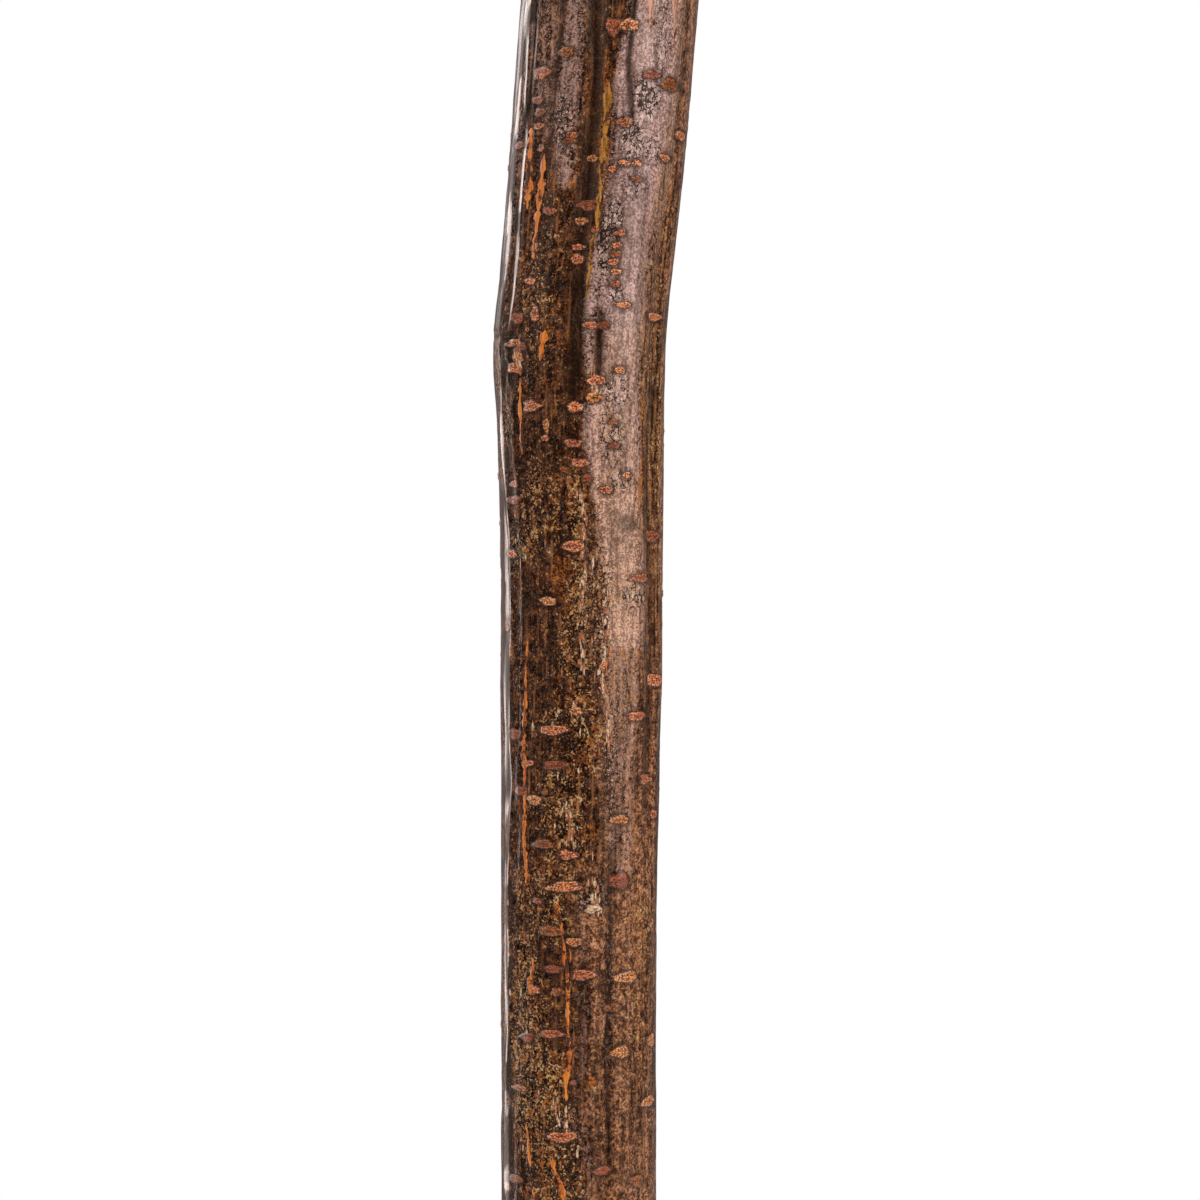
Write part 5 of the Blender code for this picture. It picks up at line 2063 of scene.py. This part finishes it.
@dataclass
class BarkSplits:
    """Splits in the outer bark, where a ribbon of young bark shows."""

    bark: Bark
    step: float = 0.55 * MM
    hidden_count: int = 64
    raised: float = 0.05 * MM
    sunk: float = 0.12 * MM
    end_width: float = 0.12 * MM
    widening: float = 1.25
    least_facing: float = 0.45
    foot_margin: float = 6.0 * MM
    head_margin: float = 30.0 * MM
    hidden_points: int = 6
    hidden_tones: tuple[float, ...] = (0.0, 0.1, 0.5)

    def ribbon(
        self, angles: Array, levels: Array, half_widths: Array, tone: float, draws: np.random.Generator
    ) -> Shape:
        """Lay one ribbon into the bark.

        Args:
            angles: The angles of its course.
            levels: The heights of its course.
            half_widths: Its half width along its course.
            tone: Its colour.
            draws: Where its unevenness comes from.

        Returns:
            The points, the faces and what the points carry.
        """
        length = levels[-1] - levels[0]
        count = max(int(abs(length) / self.step), 3)
        share = np.linspace(0.0, 1.0, count)
        known = (levels - levels[0]) / length
        course = np.interp(share, known, angles)
        heights = np.interp(share, known, levels)
        widths = np.interp(share, known, half_widths) * draws.uniform(0.35, 1.4, count)
        widths[0] = widths[-1] = self.end_width
        across = np.array([-1.15, -0.85, -0.3, 0.3, 0.85, 1.15, 0.0])
        lifts = np.array([-self.sunk, 0.0, self.raised, self.raised, 0.0, -self.sunk, -2.5 * self.sunk])
        reach = self.bark.form.radius(course, heights)
        edge = 1.0 + draws.uniform(-0.3, 0.3, (count, len(across)))
        turned = np.degrees(across * edge * (widths / reach)[:, None])
        around = course[:, None] + turned
        level = np.broadcast_to(heights[:, None], around.shape)
        radius = self.bark.radius(around, level) + lifts
        wide = len(across)
        faces: Faces = [tuple(range(wide))]
        for row in range(count - 1):
            for side in range(wide):
                following = (side + 1) % wide
                low, high = row * wide, (row + 1) * wide
                faces.append((low + following, low + side, high + side, high + following))
        faces.append(tuple(range((count - 1) * wide, count * wide))[::-1])
        rise = np.clip(1.0 - np.abs(across), 0.0, 1.0) * np.ones((count, 1))
        layers = {
            "straight": self.bark.straight(around, level, radius).reshape(-1, 3),
            "rise": rise.ravel(),
            "tone": np.full(count * wide, tone),
        }
        return self.bark.points(around, level, radius).reshape(-1, 3), faces, layers

    def build(self, material: Material) -> Piece:
        """Build all the splits.

        Args:
            material: What they are made of.

        Returns:
            The piece.
        """
        draws = np.random.default_rng(41)
        viewpoint = self.bark.viewpoint
        form = self.bark.form
        ribbons = []
        for tone, course in SPLITS:
            columns, rows, widths = np.array(course, dtype=float).T
            angles, levels = viewpoint.onto_bark(columns, rows, form)
            facing = np.maximum(np.cos(np.radians(angles)), self.least_facing)
            half_widths = self.widening * widths / 2.0 / viewpoint.pixels_per_metre / facing
            ribbons.append(self.ribbon(angles, levels, half_widths, tone.value, draws))
        lowest, highest = form.lower_shoulder + self.foot_margin, form.upper_shoulder - self.head_margin
        while len(ribbons) < len(SPLITS) + self.hidden_count:
            angle = draws.uniform(0.0, 360.0)
            low = draws.uniform(lowest, highest)
            levels = low + np.linspace(0.0, draws.uniform(4.0, 22.0), self.hidden_points) * MM
            angles = angle + np.cumsum(draws.normal(0.0, 1.6, self.hidden_points))
            half_widths = draws.uniform(0.18, 0.42, self.hidden_points) * MM
            tone = draws.choice(self.hidden_tones)
            if self.bark.photographed(angles, levels)[2].max() < HIDDEN:
                ribbons.append(self.ribbon(angles, levels, half_widths, tone, draws))
        return grow("bark_splits", ribbons, material)


# A corner that turns by less than 14 degrees stays, and a rounded one takes at most this share of each side.
STRAIGHT_ON = math.cos(math.radians(14.0))
LARGEST_CUT = 0.42
# A turned point nearer the axis than this is one on it.
ON_AXIS = 1e-6


def softened(outline: Outline, round_over: float, closed: bool, steps: int = 4) -> Array:
    """Round the corners of an outline, as a turner breaks them.

    Args:
        outline: Radius and height of each corner.
        round_over: The largest radius of a rounded corner.
        closed: Whether the last corner joins the first.
        steps: How many points each rounded corner gets after its first.

    Returns:
        The rounded outline, one point in each row.
    """
    corners = np.array(outline, dtype=float)
    count = len(corners)
    made = []
    for number, corner in enumerate(corners):
        if not closed and number in (0, count - 1):
            made.append(corner)
            continue
        before = corners[number - 1] - corner
        after = corners[(number + 1) % count] - corner
        length_before, length_after = np.linalg.norm(before), np.linalg.norm(after)
        straightness = -np.dot(before, after) / (length_before * length_after)
        if straightness > STRAIGHT_ON:
            made.append(corner)
            continue
        cut = min(round_over, LARGEST_CUT * length_before, LARGEST_CUT * length_after)
        start = corner + before / length_before * cut
        end = corner + after / length_after * cut
        for step in range(steps + 1):
            share = step / steps
            made.append((1 - share) ** 2 * start + 2 * share * (1 - share) * corner + share**2 * end)
    return np.array(made)


@dataclass(frozen=True)
class Turned:
    """A piece turned on a lathe."""

    name: str
    axis: tuple[float, float]
    outline: Outline
    body: Body
    slot: Slot
    round_over: float
    closed: bool = False
    steps: int = 112

    def build(self, material: Material) -> Piece:
        """Turn the piece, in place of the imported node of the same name.

        Args:
            material: What it is made of.

        Returns:
            The piece.
        """
        outline = softened(self.outline, self.round_over, self.closed)
        points: list[tuple[float, float, float]] = []
        rings: list[list[int]] = []
        for radius, height in outline:
            start = len(points)
            if radius < ON_AXIS:
                points.append((self.axis[0], self.axis[1], height))
                rings.append([start])
                continue
            for side in range(self.steps):
                turn = 2.0 * math.pi * side / self.steps
                x = self.axis[0] + radius * math.sin(turn)
                points.append((x, self.axis[1] - radius * math.cos(turn), height))
            rings.append(list(range(start, start + self.steps)))
        if self.closed:
            rings.append(rings[0])
        faces: Faces = []
        for upper, lower in zip(rings, rings[1:]):
            for side in range(self.steps):
                following = (side + 1) % self.steps
                corners = [
                    upper[side % len(upper)],
                    lower[side % len(lower)],
                    lower[following % len(lower)],
                    upper[following % len(upper)],
                ]
                face = list(dict.fromkeys(corners))
                if len(face) > 2:
                    faces.append(face)
        name = f"turned_{self.name}"
        return make_piece(name, np.array(points), faces, material, self.body, (self.name,))


@dataclass
class Foot:
    """The brass ferrule and the rubber tip on it."""

    form: StickForm
    ferrule_radius: float = 9.5 * MM
    ferrule_wall: float = 0.8 * MM
    ferrule_bead: float = 0.5 * MM
    ferrule_bead_height: float = 1.8 * MM
    tip_radius: float = 18.8 * MM
    tip_wall: float = 3.1 * MM
    tip_rim_step: float = 0.9 * MM
    tip_rim_height: float = 4.5 * MM
    tip_floor: float = 10.0 * MM
    tip_foot_height: float = 5.0 * MM
    tip_edge: float = 0.7 * MM
    flare_points: int = 16
    flare_power: float = 2.2
    rib_count: int = 3
    rib_depth: float = 0.8 * MM
    rib_pitch: float = 4.2 * MM
    tread_depth: float = 1.2 * MM
    tread_land: float = 2.6 * MM
    tread_groove: float = 1.8 * MM
    tread_rings: int = 3
    ferrule_round: float = 0.25 * MM
    tip_round: float = 0.5 * MM

    def ferrule_outline(self) -> Outline:
        """Draw the ferrule sleeve, round its wall.

        Returns:
            The radius and height of each corner.
        """
        bottom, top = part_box("ferrule_sleeve")[0][2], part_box("ferrule_sleeve")[1][2]
        bore = self.ferrule_radius - self.ferrule_wall
        bead_base = top - self.ferrule_bead_height
        bead_round = self.ferrule_bead_height / 4
        proud = self.ferrule_radius + self.ferrule_bead
        edge = self.ferrule_wall / 2
        return (
            (bore, top),
            (self.ferrule_radius, top),
            (proud, top - bead_round),
            (proud, bead_base + bead_round),
            (self.ferrule_radius, bead_base),
            (self.ferrule_radius, bottom + edge),
            (self.ferrule_radius - edge, bottom),
            (bore, bottom),
        )

    def tip_outline(self) -> Outline:
        """Draw the rubber tip, from its socket's floor over its rim and flare to its tread's middle.

        Returns:
            The radius and height of each corner.
        """
        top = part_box("rubber_tip")[1][2]
        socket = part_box("tip_washer")[1][0] - self.form.foot[0] + SEAT_GAP
        edge = self.tip_edge
        waist = socket + self.tip_wall
        rim = waist + self.tip_rim_step
        rim_base = top - self.tip_rim_height
        outline = [
            (0.0, self.tip_floor),
            (socket, self.tip_floor),
            (socket, top - edge),
            (socket + edge, top),
            (rim - edge, top),
            (rim, top - edge),
            (rim, rim_base + edge),
            (waist, rim_base - edge),
        ]
        quarter = self.rib_pitch / 4
        for rib in range(self.rib_count):
            level = rim_base - edge - quarter - rib * self.rib_pitch
            outline += [
                (waist, level),
                (waist - self.rib_depth, level - quarter / 2),
                (waist - self.rib_depth, level - quarter * 1.5),
                (waist, level - quarter * 2),
            ]
        ribs_base = rim_base - edge - self.rib_count * self.rib_pitch
        for step in range(self.flare_points + 1):
            share = step / self.flare_points
            out = waist + (self.tip_radius - edge - waist) * share**self.flare_power
            outline.append((out, ribs_base + (self.tip_foot_height - ribs_base) * share))
        outline += [(self.tip_radius, self.tip_foot_height - edge), (self.tip_radius, edge)]
        outer = self.tip_radius - edge
        outline.append((outer, 0.0))
        outer -= self.tread_land
        for _ in range(self.tread_rings):
            inner = outer - self.tread_groove
            outline += [(outer, 0.0), (outer, self.tread_depth), (inner, self.tread_depth), (inner, 0.0)]
            outer = inner - self.tread_land
        outline.append((0.0, 0.0))
        return outline

    def build(self, brass: Material, rubber: Material) -> None:
        """Turn the ferrule sleeve and mould the tip.

        Args:
            brass: What the sleeve is made of.
            rubber: What the tip is made of.
        """
        foot = self.form.foot
        sleeve, tip = self.ferrule_outline(), self.tip_outline()
        Turned("ferrule_sleeve", foot, sleeve, Body.STICK, Slot.BRASS, self.ferrule_round, True).build(brass)
        Turned("rubber_tip", foot, tip, Body.TIP, Slot.RUBBER, self.tip_round).build(rubber)


@dataclass
class Head:
    """The collar, the horn spacer and the knob."""

    form: StickForm
    collar_radius: float = 14.8 * MM
    collar_wall: float = 1.0 * MM
    collar_bead: float = 0.7 * MM
    collar_bead_height: float = 2.2 * MM
    spacer_edge: float = 0.6 * MM
    stud_bore: float = 4.3 * MM
    knob_radius: float = 25.0 * MM
    knob_neck_radius: float = 12.8 * MM
    knob_neck_height: float = 7.0 * MM
    knob_foot_edge: float = 0.8 * MM
    curve_points: int = 60
    neck_points: int = 14
    collar_round: float = 0.35 * MM
    spacer_round: float = 0.4 * MM
    knob_round: float = 0.5 * MM
    knob_steps: int = 144

    def collar_outline(self) -> Outline:
        """Draw the collar, round its wall.

        Returns:
            The radius and height of each corner.
        """
        bottom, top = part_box("collar")[0][2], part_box("collar")[1][2]
        bore = self.collar_radius - self.collar_wall
        bead_round = self.collar_bead_height / 4
        proud = self.collar_radius + self.collar_bead
        outline = [(bore, top)]
        for bead_top in (top, bottom + self.collar_bead_height):
            outline += [
                (self.collar_radius, bead_top),
                (proud, bead_top - bead_round),
                (proud, bead_top - self.collar_bead_height + bead_round),
                (self.collar_radius, bead_top - self.collar_bead_height),
            ]
        outline.append((bore, bottom))
        return outline

    def spacer_outline(self) -> Outline:
        """Draw the horn spacer, round its section.

        Returns:
            The radius and height of each corner.
        """
        bottom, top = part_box("horn_spacer")[0][2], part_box("horn_spacer")[1][2]
        inner = self.collar_radius - self.spacer_edge
        return (
            (self.stud_bore, top),
            (inner, top),
            (self.collar_radius, top - self.spacer_edge),
            (self.collar_radius, bottom + self.spacer_edge),
            (inner, bottom),
            (self.stud_bore, bottom),
        )

    def knob_outline(self) -> Outline:
        """Draw the knob from its crown to its foot: a ball that runs into a waisted neck.

        Returns:
            The radius and height of each corner.
        """
        bottom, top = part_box("knob")[0][2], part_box("knob")[1][2]
        neck_level = bottom + self.knob_neck_height
        ball_half = (top - neck_level) / 2
        middle = neck_level + ball_half
        lowest = math.acos(self.knob_neck_radius / self.knob_radius)
        outline = [(0.0, top)]
        for step in range(1, self.curve_points + 1):
            turn = math.pi / 2 - (math.pi / 2 + lowest) * step / self.curve_points
            outline.append((self.knob_radius * math.cos(turn), middle + ball_half * math.sin(turn)))
        start = outline[-1][1]
        end = bottom + self.knob_foot_edge
        for step in range(1, self.neck_points + 1):
            share = step / self.neck_points
            flare = (self.collar_radius - self.knob_neck_radius) * share**2
            outline.append((self.knob_neck_radius + flare, start + (end - start) * share))
        insert_low, insert_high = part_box("knob_insert")
        bore = (insert_high[0] - insert_low[0]) / 2 + SEAT_GAP
        insert_top = insert_high[2] + SEAT_GAP
        stud_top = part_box("head_stud")[1][2] + SEAT_GAP
        outline += [
            (self.collar_radius - self.knob_foot_edge, bottom),
            (bore, bottom),
            (bore, insert_top),
            (self.stud_bore, insert_top),
            (self.stud_bore, stud_top),
            (0.0, stud_top),
        ]
        return outline

    def build(self, brass: Material, horn: Material, burr: Material) -> None:
        """Turn the collar, the spacer and the knob.

        Args:
            brass: What the collar is made of.
            horn: What the spacer is made of.
            burr: What the knob is made of.
        """
        head, stick = self.form.head, Body.STICK
        collar, spacer, knob = self.collar_outline(), self.spacer_outline(), self.knob_outline()
        Turned("collar", head, collar, stick, Slot.BRASS, self.collar_round, True).build(brass)
        Turned("horn_spacer", head, spacer, stick, Slot.HORN, self.spacer_round, True).build(horn)
        Turned("knob", head, knob, stick, Slot.BURR, self.knob_round, steps=self.knob_steps).build(burr)


def dress_node(node: str, material: Material) -> None:
    """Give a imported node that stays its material.

    Args:
        node: The node's name.
        material: What it is made of.
    """
    mesh = bpy.data.objects[node].data
    mesh.materials.clear()
    mesh.materials.append(material)
    LOG.info("%s: packed node, dressed in %s", node, material.name)


@dataclass(frozen=True)
class Glow:
    """A soft-edged light in the world that only gloss shows. Its edges are angles, in degrees."""

    azimuth: float
    half_width: float
    softness: float
    low: float
    high: float
    fade: float
    strength: float


@dataclass
class Studio:
    """The camera, the light and the floor."""

    viewpoint: Viewpoint
    lens: float = 100.0
    sensor: float = 36.0
    nearest: float = 0.01
    fill: float = 0.72
    dim: float = 0.035
    sun_strength: float = 1.5
    sun_spread: float = 30.0
    sun_tilt: float = 45.0
    sun_turn: float = 40.0
    floor_radius: float = 2.0
    floor_sides: int = 96
    floor_mottle: float = 0.12
    glows: tuple[Glow, ...] = (
        Glow(56.0, 24.0, 16.0, -1.0, 62.0, 7.0, 3.6),
        Glow(-54.0, 14.0, 14.0, 5.0, 62.0, 5.0, 1.8),
        Glow(-124.0, 13.0, 7.0, -60.0, 60.0, 8.0, 5.5),
        Glow(-146.0, 12.0, 8.0, 9.0, 60.0, 5.0, 1.6),
        Glow(146.0, 4.0, 5.0, -60.0, 60.0, 8.0, 0.6),
        Glow(180.0, 25.0, 12.0, -60.0, 60.0, 8.0, 0.10),
    )

    def place_camera(self) -> None:
        """Stand the camera where the photograph was taken from."""
        data = bpy.data.cameras.new("camera")
        data.lens = self.lens
        data.sensor_width = self.sensor
        data.clip_start = self.nearest
        camera = bpy.data.objects.new("camera", data)
        camera.location = (self.viewpoint.middle_x, -self.viewpoint.distance, self.viewpoint.middle_z)
        camera.rotation_euler = (math.radians(90.0), 0.0, 0.0)
        bpy.context.scene.collection.objects.link(camera)
        bpy.context.scene.camera = camera

    def light_world(self) -> None:
        """White behind everything, even fill on the object, and soft boxes that only gloss shows."""
        world = bpy.data.worlds.new("studio")
        world.use_nodes = True
        world.cycles.sampling_method = "NONE"
        bpy.context.scene.world = world
        shader = Shader(world.node_tree)
        direction = shader.node("ShaderNodeTexCoord", {}, {}, "Generated")
        across, along, up = shader.apart(direction)
        turn = across.maths("ARCTAN2", across, 0.0 - along) * (180.0 / math.pi)
        lift = up.maths("ARCSINE", up) * (180.0 / math.pi)
        seen = self.dim
        for glow in self.glows:
            around = turn - glow.azimuth + 540.0
            away = abs(around.maths("FLOORED_MODULO", around, 360.0) - 180.0)
            soft = glow.softness / 2
            inside = 1.0 - away.stepped(glow.half_width - soft, glow.half_width + soft)
            above = lift.stepped(glow.low - glow.fade, glow.low + glow.fade)
            below = 1.0 - lift.stepped(glow.high - glow.fade, glow.high + glow.fade)
            seen = inside * above * below * glow.strength + seen
        path = shader.node("ShaderNodeLightPath", {}, {}, "Is Camera Ray")
        diffuse = path.also("Is Diffuse Ray")
        strength = path + (1.0 - path) * (diffuse * self.fill + (1.0 - diffuse) * seen)
        tint = shader.mixed((1.0, 0.91, 0.88, 1.0), WHITE, path)
        light = shader.node("ShaderNodeBackground", {}, {"Color": tint, "Strength": strength})
        shader.node("ShaderNodeOutputWorld", {}, {"Surface": light})

    def hang_sun(self) -> None:
        """Add the one lamp that throws a soft shadow."""
        data = bpy.data.lights.new("key", "SUN")
        data.energy = self.sun_strength
        data.angle = math.radians(self.sun_spread)
        lamp = bpy.data.objects.new("key", data)
        lamp.rotation_euler = (math.radians(self.sun_tilt), 0.0, math.radians(self.sun_turn))
        lamp.visible_glossy = False
        bpy.context.scene.collection.objects.link(lamp)

    def lay_floor(self) -> None:
        """Lay a pale floor that fades into the white."""
        material = bpy.data.materials.new("floor_white")
        material.use_nodes = True
        shader = Shader(material.node_tree)
        across, along, _ = shader.apart(shader.place())
        far = (across * across + along * along).stepped(0.4, 0.9 * self.floor_radius**2)
        mottle = shader.noise(shader.place(), self.floor_mottle, 3.0, 0.5)
        pale = shader.mixed((0.80, 0.80, 0.80, 1.0), (0.84, 0.84, 0.84, 1.0), mottle)
        floor = shader.node("ShaderNodeBsdfDiffuse", {}, {"Color": pale})
        white = shader.node("ShaderNodeEmission", {}, {"Color": WHITE, "Strength": 1.0})
        path = shader.node("ShaderNodeLightPath", {}, {}, "Is Camera Ray")
        surface = shader.node("ShaderNodeMixShader", {}, {0: far * path, 1: floor, 2: white})
        shader.node("ShaderNodeOutputMaterial", {}, {"Surface": surface})
        turns = np.arange(self.floor_sides) * 2.0 * np.pi / self.floor_sides
        rim = np.stack([np.cos(turns), np.sin(turns), np.zeros(self.floor_sides)], axis=-1)
        mesh = bpy.data.meshes.new("floor")
        mesh.from_pydata((rim * self.floor_radius).tolist(), [], [tuple(range(self.floor_sides))])
        mesh.materials.append(material)
        floor_disc = bpy.data.objects.new("floor", mesh)
        bpy.context.scene.collection.objects.link(floor_disc)

    def set_up(self) -> None:
        """Set up the whole studio."""
        self.place_camera()
        self.light_world()
        self.hang_sun()
        self.lay_floor()
        bpy.context.scene.view_settings.view_transform = "Standard"


def main() -> None:
    """Build the cane from the stick outwards, then the studio."""
    logging.basicConfig(level=logging.INFO, format="%(name)s: %(message)s")
    viewpoint = Viewpoint()
    form = StickForm.from_frame()
    bark = Bark(form, viewpoint)
    BarkSkin(bark).build(BarkFinish().material())
    BarkPores(bark).build(PoreFinish().material())
    BarkSplits(bark).build(SplitFinish().material())
    BarkFlakes(bark).build(FlakeFinish().material())
    brass = BrassFinish().material()
    steel = SteelFinish().material()
    Foot(form).build(brass, RubberFinish().material())
    Head(form).build(brass, HornFinish().material(), BurrFinish().material())
    for node in ("ferrule_pin_left", "ferrule_pin_right", "knob_insert"):
        dress_node(node, brass)
    for node in ("tip_washer", "ferrule_end_plate", "head_stud"):
        dress_node(node, steel)
    Studio(viewpoint).set_up()


if __name__ == "__main__":
    main()
